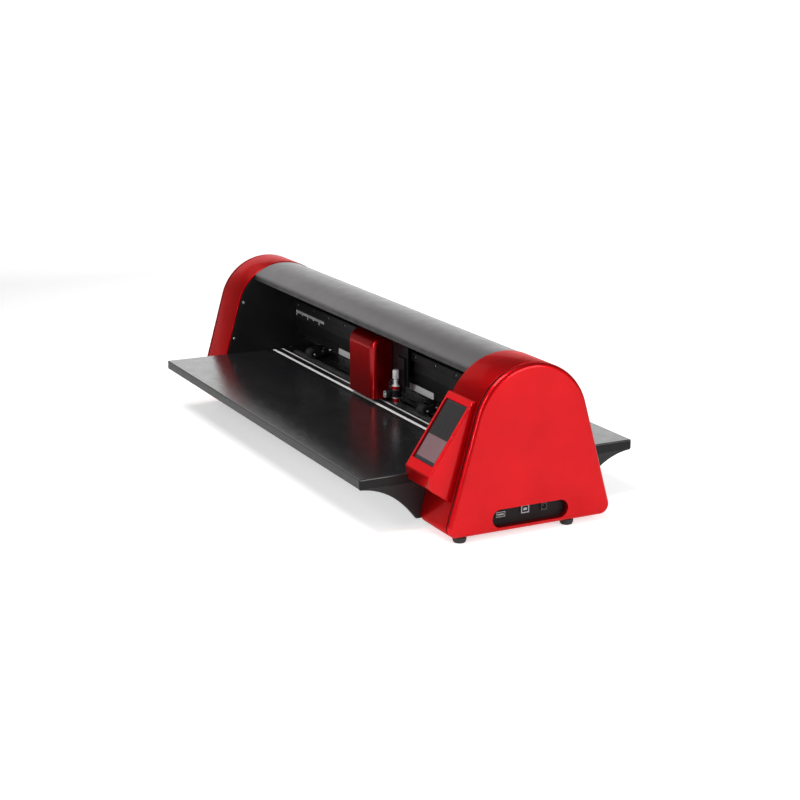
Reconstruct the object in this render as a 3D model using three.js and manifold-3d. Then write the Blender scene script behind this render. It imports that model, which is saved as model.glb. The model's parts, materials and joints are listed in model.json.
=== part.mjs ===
// Desktop vinyl cutter: an assembly of named parts in millimetres, +Z up.
// X runs along the machine, -Y is the front, and the feet stand on Z = 0.

import * as THREE from 'three';
import { mergeVertices } from 'three/addons/utils/BufferGeometryUtils.js';
import Module from 'manifold-3d';

const wasm = await Module();
wasm.setup();

// ---------------------------------------------------------------- driving dimensions

const GAP = 0.3;                     // clearance between touching parts
const INNER_X = 360;                 // inner face of each end housing
const OUTER_X = 439.5;               // outer face of each end cap
const SPAN_X = INNER_X - GAP;        // half length of everything between the housings
const FOOT_HEIGHT = 8;

const ARCH_RADIUS = 82.2;            // housing outline: an arch on two sloping sides
const ARCH_Z = 140.5;
const BASE_HALF = 123.3;
const BASE_CORNER = 13;
const SHELL_WALL = 3;
const CAP_THICKNESS = 8;
const CAP_BEVEL = 2.6;

const TABLE_TOP = 77;                // media surface
const TABLE_DEPTH_Y = 204.6;
const TABLE_EDGE = 12.7;
const TABLE_SHEET = 1.5;
const PLATEN_HALF_Y = 31.7;
const PLATEN_THICKNESS = 7;
const STRIP_X = 355.5;               // half length of the strips let into the platen
const STRIP_DEPTH = 0.7;
const STRIP_PROUD = 0.1;

const FRAME_SHEET = 2;               // folded base frame, a channel with inner lips
const FRAME = { halfY: 100, bottom: 12, shelf: 63.9, lipTop: 69.7, lipY: 31.6, lipEdge: 24 };
const WING = { tipY: 203.5, tipZ: 63, heelY: 124, heelZ: 14, thickness: 6 };
const FOOT = { x: 427, frontY: -98, rearY: 60, radius: 9 };

const DRUM_Y = 11;
const DRUM_RADIUS = 9;
const DRUM_PROUD = 0.4;
const DRUM_Z = TABLE_TOP + DRUM_PROUD - DRUM_RADIUS;
const DRUM_BODY_X = 336;             // half length of the gripping surface
const JOURNAL_RADIUS = 4;
const BEARING = { radius: 9.5, width: 5 };
const ROLLER_RADIUS = 7.4;
const ROLLER_HALF_WIDTH = 8.5;
const ROLLER_Z = DRUM_Z + DRUM_RADIUS + GAP + ROLLER_RADIUS;
const ROLLER_X = [-272, 121];        // left and right pinch roller
const PIVOT = { y: 40, z: 90 };      // pinch arm pivot shaft
const PIVOT_RADIUS = 3;
const RELEASE = { y: 50, z: 99.5 };  // release shaft above the arm tails
const LEVER_X = [326, 332];
const LEVER_NOTCH = { side: 8, top: 118 };   // way for the lever through the cover's rear edge

const PINCH_BAR = { y0: 24, y1: 36, z0: 98.5, z1: 114, wall: 2 };
const BEAM = { y0: 21.3, y1: 55, z0: PINCH_BAR.z1 + GAP, z1: 165, wall: 3 };
const RAIL = { y0: 13.3, y1: 21, z0: 148, z1: 160, x: 350 };
const CUT_Y = -5;                    // cutting line and tool axis
const TOOL_X = 65;
const TOOL_TIP_Z = 80;

const BELT_Z = 176;                  // carriage belt, a loop in the XZ plane
const BELT_Y = [24.5, 30.5];
const BELT_PULLEY_RADIUS = 7;
const DRIVE_X = 395;
const IDLER_X = -335;
const BELT_THICKNESS = 1.4;

const DRUM_MOTOR = { y: -38, z: 62 };
const DRUM_PULLEY = { radius: 16, x0: 369, x1: 378 };
const MOTOR_PULLEY_RADIUS = 8;
const MOTOR_HALF = 21;
const MOTOR_LENGTH = 40;
const SHAFT_RADIUS = 2.5;
const BRACKET_SHEET = 2.5;
const BRACKET_X = INNER_X + 3.3;     // brackets stand on the right side plate
const FLANGE = { width: 1, rise: 2 };

const POD = { x0: 360.3, x1: 424.5, wall: 3 };
const POD_TOP = { y: -79, z: 179.8 };      // upper edge of the screen face
const POD_CHIN = { y: -141, z: 88.5 };     // lower edge of the screen face
const POD_LIP = { y: -137.5, z: 71.3 };
const POD_UNDER = { y: -110.5, z: 52 };    // underside meets the housing's slope
const SCREEN = { width: 54.6, height: 86, fromBottom: 14.6 };

const PORT_SLOT = { y: -1.7, z: 26.3, length: 111.8, height: 24 };

// ---------------------------------------------------------------- materials

function material(color, roughness, metalness) {
  return new THREE.MeshStandardMaterial({ color, roughness, metalness });
}

const redPlastic = material(0xd8161c, 0.25, 0.1);
const blackPanel = material(0x2a2a2b, 0.4, 0.2);
const blackCover = material(0x343334, 0.35, 0.3);
const blackMetal = material(0x1b1b1c, 0.5, 0.5);
const greyMetal = material(0x6f7073, 0.45, 0.8);
const brightMetal = material(0xd4d4d6, 0.25, 0.9);
const steel = material(0xa4a6a8, 0.3, 0.9);
const rubber = material(0x161616, 0.85, 0);
const paleStrip = material(0xdcdcd6, 0.5, 0);
const screenGlass = material(0x14161a, 0.08, 0.1);
const boardGreen = material(0x1d5a34, 0.5, 0.1);
const darkPlastic = material(0x151515, 0.55, 0);

// ---------------------------------------------------------------- shape helpers

function vec(x, y) {
  return new THREE.Vector2(x, y);
}

// Points along an arc about (cx, cy), in radians, both ends included.
function arc(cx, cy, radius, start, end, steps) {
  const points = [];
  for (let i = 0; i <= steps; i++) {
    const angle = start + ((end - start) * i) / steps;
    points.push(vec(cx + radius * Math.cos(angle), cy + radius * Math.sin(angle)));
  }
  return points;
}

function circle(cx, cy, radius, steps) {
  return arc(cx, cy, radius, 0, 2 * Math.PI, steps).slice(0, -1);
}

function polygon(pairs) {
  return pairs.map(([x, y]) => vec(x, y));
}

function rectangle(y0, y1, z0, z1) {
  return polygon([[y0, z0], [y1, z0], [y1, z1], [y0, z1]]);
}

function box(x0, x1, y0, y1, z0, z1) {
  const geometry = new THREE.BoxGeometry(x1 - x0, y1 - y0, z1 - z0);
  return geometry.translate((x0 + x1) / 2, (y0 + y1) / 2, (z0 + z1) / 2);
}

function extrude(outline, holes, depth) {
  const shape = new THREE.Shape(outline);
  shape.holes = holes.map((points) => new THREE.Path(points));
  return new THREE.ExtrudeGeometry(shape, { depth, bevelEnabled: false });
}

// Extrusions of an outline drawn in YZ, XZ or XY along the remaining axis.
const alongX = new THREE.Matrix4().makeBasis(
  new THREE.Vector3(0, 1, 0), new THREE.Vector3(0, 0, 1), new THREE.Vector3(1, 0, 0));
const alongY = new THREE.Matrix4().makeBasis(
  new THREE.Vector3(1, 0, 0), new THREE.Vector3(0, 0, 1), new THREE.Vector3(0, -1, 0));

function extrudeX(outline, x0, x1, holes = []) {
  return extrude(outline, holes, x1 - x0).applyMatrix4(alongX).translate(x0, 0, 0);
}

function extrudeY(outline, y0, y1, holes = []) {
  return extrude(outline, holes, y1 - y0).applyMatrix4(alongY).translate(0, y1, 0);
}

function extrudeZ(outline, z0, z1, holes = []) {
  return extrude(outline, holes, z1 - z0).translate(0, 0, z0);
}

// A turned part: profile points are (radius, distance along the axis).
function turned(profile, sides = 20) {
  return new THREE.LatheGeometry(polygon(profile), sides);
}

function turnedX(profile, y, z, sides) {
  return turned(profile, sides).rotateZ(-Math.PI / 2).translate(0, y, z);
}

function turnedY(profile, x, z, sides) {
  return turned(profile, sides).translate(x, 0, z);
}

function turnedZ(profile, x, y, sides) {
  return turned(profile, sides).rotateX(Math.PI / 2).translate(x, y, 0);
}

function rodX(radius, x0, x1, y, z, sides) {
  return turnedX([[0, x0], [radius, x0], [radius, x1], [0, x1]], y, z, sides);
}

function rodY(radius, y0, y1, x, z, sides) {
  return turnedY([[0, y0], [radius, y0], [radius, y1], [0, y1]], x, z, sides);
}

function ring(inner, outer, start, end) {
  return [[inner, start], [outer, start], [outer, end], [inner, end], [inner, start]];
}

// A toothed pulley between two flanges.
function pulleyProfile(bore, radius, start, end, flange = FLANGE.width) {
  const rim = radius + FLANGE.rise;
  return [
    [bore, start], [rim, start], [rim, start + flange], [radius, start + flange],
    [radius, end - flange], [rim, end - flange], [rim, end], [bore, end], [bore, start],
  ];
}

// ---------------------------------------------------------------- booleans

function toManifold(geometry) {
  const bare = geometry.clone();
  bare.deleteAttribute('normal');
  bare.deleteAttribute('uv');
  const merged = mergeVertices(bare, 1e-4);
  return new wasm.Manifold(new wasm.Mesh({
    numProp: 3,
    vertProperties: new Float32Array(merged.attributes.position.array),
    triVerts: new Uint32Array(merged.index.array),
  }));
}

function toGeometry(solid) {
  const mesh = solid.getMesh();
  const positions = new THREE.BufferAttribute(new Float32Array(mesh.vertProperties), 3);
  const geometry = new THREE.BufferGeometry();
  geometry.setAttribute('position', positions);
  geometry.setIndex(new THREE.BufferAttribute(new Uint32Array(mesh.triVerts), 1));
  return geometry;
}

function cut(base, ...tools) {
  let solid = toManifold(base);
  for (const tool of tools) solid = solid.subtract(toManifold(tool));
  return toGeometry(solid);
}

function join(base, ...others) {
  let solid = toManifold(base);
  for (const other of others) solid = solid.add(toManifold(other));
  return toGeometry(solid);
}

// ---------------------------------------------------------------- scene helpers

const machine = new THREE.Group();

function part(name, geometry, look, parent = machine) {
  geometry.computeVertexNormals();
  const mesh = new THREE.Mesh(geometry, look);
  mesh.name = name;
  parent.add(mesh);
  return mesh;
}

// ---------------------------------------------------------------- housing outline

// Angle above the horizontal where the sloping side meets the arch.
const SLOPE_ANGLE = (() => {
  const drop = ARCH_Z - FOOT_HEIGHT;
  return Math.acos(ARCH_RADIUS / Math.hypot(BASE_HALF, drop)) - Math.atan2(drop, BASE_HALF);
})();

// The housing outline in YZ, moved inwards by an inset.
function housingOutline(inset, archSteps = 20) {
  const radius = ARCH_RADIUS - inset;
  const corner = Math.max(BASE_CORNER - inset, 1);
  const cornerZ = FOOT_HEIGHT + inset + corner;
  const cornerY = (radius - corner - (cornerZ - ARCH_Z) * Math.sin(SLOPE_ANGLE)) / Math.cos(SLOPE_ANGLE);
  return [
    ...arc(cornerY, cornerZ, corner, -Math.PI / 2, SLOPE_ANGLE, 5),
    ...arc(0, ARCH_Z, radius, SLOPE_ANGLE, Math.PI - SLOPE_ANGLE, archSteps),
    ...arc(-cornerY, cornerZ, corner, Math.PI - SLOPE_ANGLE, 1.5 * Math.PI, 5),
  ];
}

// Y on the rear sloping side at a height, for an inset.
function slopeY(z, inset) {
  return (ARCH_RADIUS - inset - (z - ARCH_Z) * Math.sin(SLOPE_ANGLE)) / Math.cos(SLOPE_ANGLE);
}

// ---------------------------------------------------------------- end housings

const SHELL_END = OUTER_X - CAP_THICKNESS - GAP;

function stadium(cy, cz, length, height, steps) {
  const radius = height / 2;
  const reach = length / 2 - radius;
  return [
    ...arc(cy + reach, cz, radius, -Math.PI / 2, Math.PI / 2, steps),
    ...arc(cy - reach, cz, radius, Math.PI / 2, 1.5 * Math.PI, steps),
  ];
}

function endCap() {
  const shape = new THREE.Shape(housingOutline(0));
  return new THREE.ExtrudeGeometry(shape, {
    depth: CAP_THICKNESS - 2 * CAP_BEVEL,
    bevelEnabled: true,
    bevelThickness: CAP_BEVEL,
    bevelSize: CAP_BEVEL,
    bevelOffset: -CAP_BEVEL,
    bevelSegments: 2,
  }).applyMatrix4(alongX).translate(OUTER_X - CAP_THICKNESS + CAP_BEVEL, 0, 0);
}

function portSlotCutter() {
  const outline = stadium(PORT_SLOT.y, PORT_SLOT.z, PORT_SLOT.length, PORT_SLOT.height, 8);
  return extrudeX(outline, OUTER_X - CAP_THICKNESS - 1, OUTER_X + 1);
}

// A housing end with everything that both ends share; the left one is turned half round.
function buildHousing(side) {
  const isRight = side === 'right';
  const end = new THREE.Group();
  end.rotation.z = isRight ? 0 : Math.PI;
  machine.add(end);

  const shell = extrudeX(housingOutline(0), INNER_X, SHELL_END, [housingOutline(SHELL_WALL)]);
  part(`${side}_shell`, shell, redPlastic, end);
  part(`${side}_end_cap`, isRight ? cut(endCap(), portSlotCutter()) : endCap(), redPlastic, end);
  part(`${side}_wing_plate`, wingPlate(), blackPanel, end);
}

// Side plates just inside the shells' mouths, bored for the drum bearings.
function buildSidePlates() {
  const thickness = 3;
  const fit = 0.4;
  const outline = housingOutline(SHELL_WALL + fit);
  const bearingHole = circle(DRUM_Y, DRUM_Z, BEARING.radius + GAP, 20);
  const beltWindow = rectangle(BELT_Y[0] - 4.5, BELT_Y[1] + 4.5, BELT_Z - 16, BELT_Z + 16);
  const left = extrudeX(outline, -INNER_X - thickness, -INNER_X, [bearingHole]);
  const right = extrudeX(outline, INNER_X, INNER_X + thickness, [bearingHole, beltWindow]);
  part('left_side_plate', left, blackPanel);
  part('right_side_plate', right, blackPanel);
}

// Plate under the tables at each end, with concave lower edges towards its tips.
function wingPlate() {
  const { tipY, tipZ, heelY, heelZ, thickness } = WING;
  const top = TABLE_TOP - TABLE_EDGE - GAP;
  const curve = new THREE.CubicBezierCurve(
    vec(-tipY, tipZ), vec(-tipY + 31.5, tipZ - 2), vec(-heelY - 22, heelZ + 30), vec(-heelY, heelZ));
  const front = curve.getPoints(10);
  const rear = front.map((p) => vec(-p.x, p.y)).reverse();
  const outline = [...front, ...rear, vec(tipY, top), vec(-tipY, top)];
  return extrudeX(outline, SPAN_X - thickness, SPAN_X);
}

function buildFeet() {
  const { radius, frontY, rearY } = FOOT;
  const top = FOOT_HEIGHT - GAP;
  const bevel = 1.5;
  const profile = [[0, 0], [radius - bevel, 0], [radius, bevel], [radius, top], [0, top]];
  for (const [end, y] of [['front', frontY], ['rear', rearY]]) {
    for (const [side, x] of [['left', -FOOT.x], ['right', FOOT.x]]) {
      part(`${end}_${side}_foot`, turnedZ(profile, 0, 0, 20), rubber).position.set(x, y, 0);
    }
  }
}

// ---------------------------------------------------------------- frame, tables and cover

// Folded sheet channel whose inner lips carry the platen.
function buildBaseFrame() {
  const { halfY, bottom, shelf, lipTop, lipY, lipEdge } = FRAME;
  const sheet = FRAME_SHEET;
  const rear = [
    [halfY, bottom], [halfY, shelf], [lipY, shelf], [lipY, lipTop], [lipEdge, lipTop],
    [lipEdge, lipTop - sheet], [lipY - sheet, lipTop - sheet], [lipY - sheet, shelf - sheet],
    [halfY - sheet, shelf - sheet], [halfY - sheet, bottom + sheet],
  ];
  const front = rear.map(([y, z]) => [-y, z]).reverse();
  const halfX = SPAN_X - WING.thickness - GAP - 0.1;
  part('base_frame', extrudeX(polygon([...rear, ...front]), -halfX, halfX), blackMetal);
}

// A folded tray with its flanges down.
function table(y0, y1) {
  const bottom = TABLE_TOP - TABLE_EDGE;
  const s = TABLE_SHEET;
  const outer = box(-SPAN_X, SPAN_X, y0, y1, bottom, TABLE_TOP);
  const pocket = box(-SPAN_X + s, SPAN_X - s, y0 + s, y1 - s, bottom - 1, TABLE_TOP - s);
  return cut(outer, pocket);
}

function buildTables() {
  part('front_table', table(-TABLE_DEPTH_Y, -PLATEN_HALF_Y - GAP), blackPanel);
  part('rear_table', table(PLATEN_HALF_Y + GAP, TABLE_DEPTH_Y), blackPanel);
}

// Curved cover from a turned-down front lip, over the top and down the rear slope.
function buildTopCover() {
  const inset = 1;
  const sheet = 2.2;
  const lipAngle = THREE.MathUtils.degToRad(127);
  const lipDrop = 9;
  const lipBulge = 0.6;
  const rearZ = TABLE_TOP + 10;
  const radius = ARCH_RADIUS - inset;
  const outside = arc(0, ARCH_Z, radius, SLOPE_ANGLE, lipAngle, 20);
  const inside = arc(0, ARCH_Z, radius - sheet, SLOPE_ANGLE, lipAngle, 20).reverse();
  const lip = outside[outside.length - 1];
  const lipY = lip.x - lipBulge;
  const outline = [
    vec(slopeY(rearZ, inset), rearZ),
    ...outside,
    vec(lipY, lip.y - 1.5),
    vec(lipY, lip.y - lipDrop),
    vec(lipY + sheet, lip.y - lipDrop),
    vec(lipY + sheet, lip.y - 3),
    ...inside.slice(1),
    vec(slopeY(rearZ, inset + sheet), rearZ),
  ];
  const { side, top } = LEVER_NOTCH;
  const notch = box(LEVER_X[0] - side, LEVER_X[1] + side, 0, ARCH_RADIUS + BASE_HALF, rearZ - 1, top);
  part('top_cover', cut(extrudeX(outline, -SPAN_X, SPAN_X), notch), blackCover);
}

function buildPlaten() {
  const trim = { y0: -22.6, y1: -17.2 };
  const cutLine = { y0: CUT_Y - 1.4, y1: CUT_Y + 1.4 };
  const top = TABLE_TOP + STRIP_PROUD;
  const floor = TABLE_TOP - STRIP_DEPTH;
  const above = TABLE_TOP + 1;
  const below = TABLE_TOP - PLATEN_THICKNESS - 1;
  const groove = ({ y0, y1 }) => box(
    -STRIP_X - 0.5, STRIP_X + 0.5, y0 - GAP, y1 + GAP, floor - GAP, above);
  const slotHalf = DRUM_RADIUS + 0.8;
  const journalHalf = JOURNAL_RADIUS + 0.6;
  const plate = box(-SPAN_X, SPAN_X, -PLATEN_HALF_Y, PLATEN_HALF_Y, below + 1, TABLE_TOP);
  const drumSlot = box(-DRUM_BODY_X - 5, DRUM_BODY_X + 5, DRUM_Y - slotHalf, DRUM_Y + slotHalf, below, above);
  const journalGroove = box(
    -INNER_X, INNER_X, DRUM_Y - journalHalf, DRUM_Y + journalHalf, below, DRUM_Z + JOURNAL_RADIUS + 0.5);
  part('platen', cut(plate, drumSlot, journalGroove, groove(cutLine), groove(trim)), blackMetal);

  const chamfer = 0.4;
  const trimSection = polygon([
    [trim.y0, floor], [trim.y1, floor], [trim.y1, top - chamfer], [trim.y1 - chamfer, top],
    [trim.y0 + chamfer, top], [trim.y0, top - chamfer],
  ]);
  part('platen_trim_strip', extrudeX(trimSection, -STRIP_X, STRIP_X), brightMetal);
  part('cutting_strip', box(-STRIP_X, STRIP_X, cutLine.y0, cutLine.y1, floor, top), paleStrip);
}

// ---------------------------------------------------------------- beam, rail and pinch bar

// A square tube along X between the side plates.
function tubeX({ y0, y1, z0, z1, wall }) {
  const hollow = rectangle(y0 + wall, y1 - wall, z0 + wall, z1 - wall);
  return extrudeX(rectangle(y0, y1, z0, z1), -SPAN_X, SPAN_X, [hollow]);
}

function buildBeam() {
  part('beam', tubeX(BEAM), blackMetal);

  const waist = 1.2;
  const { y0, y1, z0, z1 } = RAIL;
  const rail = polygon([
    [y1, z0], [y1, z1], [y0 + 3.5, z1], [y0 + 2.5, z1 - waist], [y0 + 1, z1 - waist], [y0, z1],
    [y0, z0], [y0 + 1, z0 + waist], [y0 + 2.5, z0 + waist], [y0 + 3.5, z0],
  ].reverse());
  part('guide_rail', extrudeX(rail, -RAIL.x, RAIL.x), blackMetal);
}

function buildPinchBar() {
  part('pinch_bar', tubeX(PINCH_BAR), blackMetal);
  const face = PINCH_BAR.y0 - GAP;
  const scalePlate = (x0, x1) => box(x0, x1, face - 0.8, face, PINCH_BAR.z0 + 0.7, PINCH_BAR.z1 - 5.2);
  part('left_scale_plate', scalePlate(-192, -118), brightMetal);
  part('right_scale_plate', scalePlate(54, 128), brightMetal);
  part('pinch_pivot_shaft', rodX(PIVOT_RADIUS, -SPAN_X, SPAN_X, PIVOT.y, PIVOT.z, 16), steel);
}

// ---------------------------------------------------------------- drum drive

function buildDrum() {
  const body = DRUM_BODY_X;
  const journal = JOURNAL_RADIUS;
  const leftEnd = -INNER_X - 8;
  const rightEnd = INNER_X + 26;
  const drum = [
    [0, leftEnd], [journal, leftEnd], [journal, -body - 1], [DRUM_RADIUS, -body],
    [DRUM_RADIUS, body], [journal, body + 1], [journal, rightEnd], [0, rightEnd],
  ];
  part('grit_drum', turnedX(drum, DRUM_Y, DRUM_Z, 28), greyMetal);

  const bore = journal + GAP;
  const pulley = pulleyProfile(bore, DRUM_PULLEY.radius, DRUM_PULLEY.x0, DRUM_PULLEY.x1);
  part('drum_pulley', turnedX(pulley, DRUM_Y, DRUM_Z, 28), steel);
  for (const [side, start] of [['left', -INNER_X - BEARING.width], ['right', INNER_X]]) {
    const race = ring(bore, BEARING.radius, start, start + BEARING.width);
    part(`${side}_drum_bearing`, turnedX(race, DRUM_Y, DRUM_Z, 24), steel);
  }
}

function motorBody() {
  const half = MOTOR_HALF;
  const c = half - 4;
  const outline = polygon([
    [-c, -half], [c, -half], [half, -c], [half, c], [c, half], [-c, half], [-half, c], [-half, -c],
  ]);
  return extrudeZ(outline, -MOTOR_LENGTH / 2, MOTOR_LENGTH / 2);
}

function buildDrumMotor() {
  const { y, z } = DRUM_MOTOR;
  const faceX = 384.5;
  const body = motorBody().applyMatrix4(alongX).translate(faceX + MOTOR_LENGTH / 2, y, z);
  part('drum_motor', body, blackMetal);

  const half = MOTOR_HALF + 4;
  const sheet = BRACKET_SHEET;
  const outside = faceX - GAP;
  const bracket = extrudeY(polygon([
    [BRACKET_X, z - half], [outside, z - half], [outside, z + half],
    [outside - sheet, z + half], [outside - sheet, z - half + sheet], [BRACKET_X, z - half + sheet],
  ]), y - half, y + half);
  const shaftHole = rodX(6, outside - sheet - 1, outside + 1, y, z, 16);
  part('drum_motor_bracket', cut(bracket, shaftHole), steel);

  const start = DRUM_PULLEY.x0 - 1;
  const radius = MOTOR_PULLEY_RADIUS;
  const pulley = pulleyProfile(0, radius, start, DRUM_PULLEY.x1).slice(0, -2);
  const shaft = [[SHAFT_RADIUS, DRUM_PULLEY.x1], [SHAFT_RADIUS, outside], [0, outside]];
  part('drum_motor_pulley', turnedX([...pulley, ...shaft], y, z, 20), steel);
}

// A flat belt around two pulleys: centres and radii in the plane of the loop.
function beltLoop(a, b, extra) {
  const angle = Math.atan2(b.v - a.v, b.u - a.u);
  const spread = Math.acos((a.r - b.r) / Math.hypot(b.u - a.u, b.v - a.v));
  return [
    ...arc(a.u, a.v, a.r + extra, angle + spread, angle - spread + 2 * Math.PI, 14),
    ...arc(b.u, b.v, b.r + extra, angle - spread, angle + spread, 10),
  ];
}

function buildDrumBelt() {
  const big = { u: DRUM_Y, v: DRUM_Z, r: DRUM_PULLEY.radius + GAP };
  const small = { u: DRUM_MOTOR.y, v: DRUM_MOTOR.z, r: MOTOR_PULLEY_RADIUS + GAP };
  const outline = beltLoop(big, small, BELT_THICKNESS);
  const [start, end] = [DRUM_PULLEY.x0 + 1.5, DRUM_PULLEY.x1 - 1.5];
  part('drum_belt', extrudeX(outline, start, end, [beltLoop(big, small, 0)]), rubber);
}

// ---------------------------------------------------------------- carriage drive

function buildCarriageMotor() {
  const faceY = MOTOR_LENGTH / 2;
  const body = motorBody().applyMatrix4(alongY).translate(DRIVE_X, 0, BELT_Z);
  part('carriage_motor', body, blackMetal);

  const front = -faceY / 2;
  const near = faceY + GAP;
  const far = near + BRACKET_SHEET;
  const inner = BRACKET_X + BRACKET_SHEET;
  const outerX = DRIVE_X + MOTOR_HALF + 2;
  const half = MOTOR_HALF + 1;
  const bracket = extrudeZ(polygon([
    [BRACKET_X, front], [inner, front], [inner, near], [outerX, near], [outerX, far], [BRACKET_X, far],
  ]), BELT_Z - half, BELT_Z + half);
  const boss = rodY(9, near - 1, far + 1, DRIVE_X, BELT_Z, 16);
  part('carriage_motor_bracket', cut(bracket, boss), steel);

  const margin = 1;
  const start = BELT_Y[0] - margin;
  const pulley = pulleyProfile(0, BELT_PULLEY_RADIUS, start, BELT_Y[1] + margin, FLANGE.width * 0.7);
  const shaft = [[0, near], [SHAFT_RADIUS, near], [SHAFT_RADIUS, start]];
  part('carriage_drive_pulley', turnedY([...shaft, ...pulley.slice(1, -1)], DRIVE_X, BELT_Z, 20), steel);
}

function buildCarriageBelt() {
  const drive = { u: DRIVE_X, v: BELT_Z, r: BELT_PULLEY_RADIUS + GAP };
  const idler = { u: IDLER_X, v: BELT_Z, r: BELT_PULLEY_RADIUS + GAP };
  const outline = beltLoop(idler, drive, BELT_THICKNESS);
  part('carriage_belt', extrudeY(outline, BELT_Y[0], BELT_Y[1], [beltLoop(idler, drive, 0)]), rubber);
}

function buildIdler() {
  const axleRadius = 2.5;
  const margin = 1;
  const profile = pulleyProfile(
    axleRadius + GAP, BELT_PULLEY_RADIUS, BELT_Y[0] - margin, BELT_Y[1] + margin);
  part('idler_pulley', turnedY(profile, IDLER_X, BELT_Z, 20), steel);

  const half = 14;
  const sheet = 3;
  const base = BEAM.z1 + GAP;
  const postY = 33;
  const post = box(IDLER_X - half, IDLER_X + half, postY, postY + sheet, base, BELT_Z + 9);
  const foot = box(IDLER_X - half, IDLER_X + half, postY, postY + 17, base, base + sheet - GAP);
  const axle = rodY(axleRadius, BELT_Y[0] - 1.5, postY + 1, IDLER_X, BELT_Z, 16);
  part('idler_bracket', join(post, foot, axle), steel);
}

// ---------------------------------------------------------------- carriage

const COVER = { x0: -49.5, x1: 34, frontY: -28, backY: 5, bottom: 83, top: 176, corner: 18, wall: 2.5 };

function buildCarriagePlate() {
  const plate = box(-44, 80, 6, 9, 108, 178);
  const beltFinger = box(-15, 15, 8, BELT_Y[1] + 0.5, BELT_Z - 7, BELT_Z - 2);
  part('carriage_plate', join(plate, beltFinger), blackMetal);

  const grip = 5;
  const reach = 0.5;
  const slot = { y: RAIL.y0 - 0.4, z0: RAIL.z0 - GAP, z1: RAIL.z1 + GAP };
  const front = 9.3;
  const back = RAIL.y1 - reach;
  const block = polygon([
    [front, RAIL.z0 - grip], [back, RAIL.z0 - grip], [back, slot.z0], [slot.y, slot.z0],
    [slot.y, slot.z1], [back, slot.z1], [back, RAIL.z1 + grip], [front, RAIL.z1 + grip],
  ]);
  part('bearing_block', extrudeX(block, -28, 28), greyMetal);
}

// Rounded cover, open at the back and below, with a notch over the tool slide.
function buildCarriageCover() {
  const { x0, x1, frontY, backY, bottom, top, corner, wall } = COVER;
  const notch = { y: -0.5, z: 110 };
  const roof = (inset) => arc(
    frontY + corner, top - corner, corner - inset, Math.PI / 2, Math.PI, 8);
  const outside = [
    vec(frontY, bottom), vec(notch.y, bottom), vec(notch.y, notch.z), vec(backY, notch.z),
    vec(backY, top), ...roof(0),
  ];
  const behind = backY + 7;
  const inside = [
    vec(frontY + wall, bottom - 3), vec(behind, bottom - 3), vec(behind, top - wall), ...roof(wall),
  ];
  const blank = extrudeX(outside, x0, x1);
  part('carriage_cover', cut(blank, extrudeX(inside, x0 + wall, x1 - wall)), redPlastic);
}

// ---------------------------------------------------------------- tool

const CLAMP = { z0: 93.5, z1: 103.7, inner: 6, outer: 9 };
const KNOB_Z = (CLAMP.z0 + CLAMP.z1) / 2;
const KNOB_THREAD = 2;

function buildToolSlide() {
  const { z0, z1, inner, outer } = CLAMP;
  const bossFront = CUT_Y - outer - 2;
  const upright = (radius, bottom, top) => turnedZ(
    [[0, bottom], [radius, bottom], [radius, top], [0, top]], TOOL_X, CUT_Y, 28);
  const plate = box(TOOL_X - 12, TOOL_X + 12, 2, 5.7, 100, 150);
  const neck = box(TOOL_X - 6, TOOL_X + 6, CUT_Y + 3, 4, 100, z1);
  const boss = box(TOOL_X - 4, TOOL_X + 4, bossFront, CUT_Y - 5, z0 + 1, z1 - 1);
  const bore = upright(inner, z0 - 10, z1 + 10);
  const thread = rodY(KNOB_THREAD + GAP, bossFront - 1, CUT_Y - 4, TOOL_X, KNOB_Z, 14);
  part('tool_slide', cut(join(plate, neck, upright(outer, z0, z1), boss), bore, thread), blackMetal);
}

// Profile from the tip upwards: nose, red collar's step, waist and cap.
function buildBladeHolder() {
  const tip = TOOL_TIP_Z;
  const nose = [
    [0, tip], [0.5, tip], [0.7, tip + 2], [2.4, tip + 2.2], [3.4, tip + 4], [4.6, tip + 4.6],
    [4.6, tip + 10], [5.7, tip + 11],
  ];
  const collar = [[5.7, tip + 24], [6.6, tip + 24], [6.6, tip + 29], [5.2, tip + 29.4]];
  const waist = [[3.4, tip + 32], [3.4, tip + 39]];
  const cap = [[4.8, tip + 40], [4.8, tip + 52], [4, tip + 53], [0, tip + 53]];
  const profile = [...nose, ...collar, ...waist, ...cap];
  part('blade_holder', turnedZ(profile, 0, 0, 20), brightMetal).position.set(TOOL_X, CUT_Y, 0);
}

function buildClampKnob() {
  const back = CUT_Y - CLAMP.outer - 2 - GAP;
  const front = back - 7;
  const radius = 5.5;
  const knob = [
    [0, front], [radius - 0.9, front], [radius, front + 1], [radius, back - 0.8], [radius - 0.7, back],
    [KNOB_THREAD, back], [KNOB_THREAD, back + 4.6], [0, back + 4.6],
  ];
  part('clamp_knob', turnedY(knob, 0, 0, 20), darkPlastic).position.set(TOOL_X, 0, KNOB_Z);
}

// ---------------------------------------------------------------- pinch assemblies

function pinchArm() {
  const side = polygon([
    [5.5, 82.5], [8, 80.8], [17, 80.8], [34, 84.5], [51, 85.5], [52.5, 88], [51, 93],
    [40, 94.5], [24, 93.6], [11, 91], [6, 88.5],
  ]);
  const holes = [circle(PIVOT.y, PIVOT.z, PIVOT_RADIUS + GAP, 16), circle(DRUM_Y, ROLLER_Z, 1.9, 12)];
  const blank = extrudeX(side, -12, 12, holes);
  const fork = box(-ROLLER_HALF_WIDTH - 0.5, ROLLER_HALF_WIDTH + 0.5, 2, 20, 70, 100);
  return cut(blank, fork);
}

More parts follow.
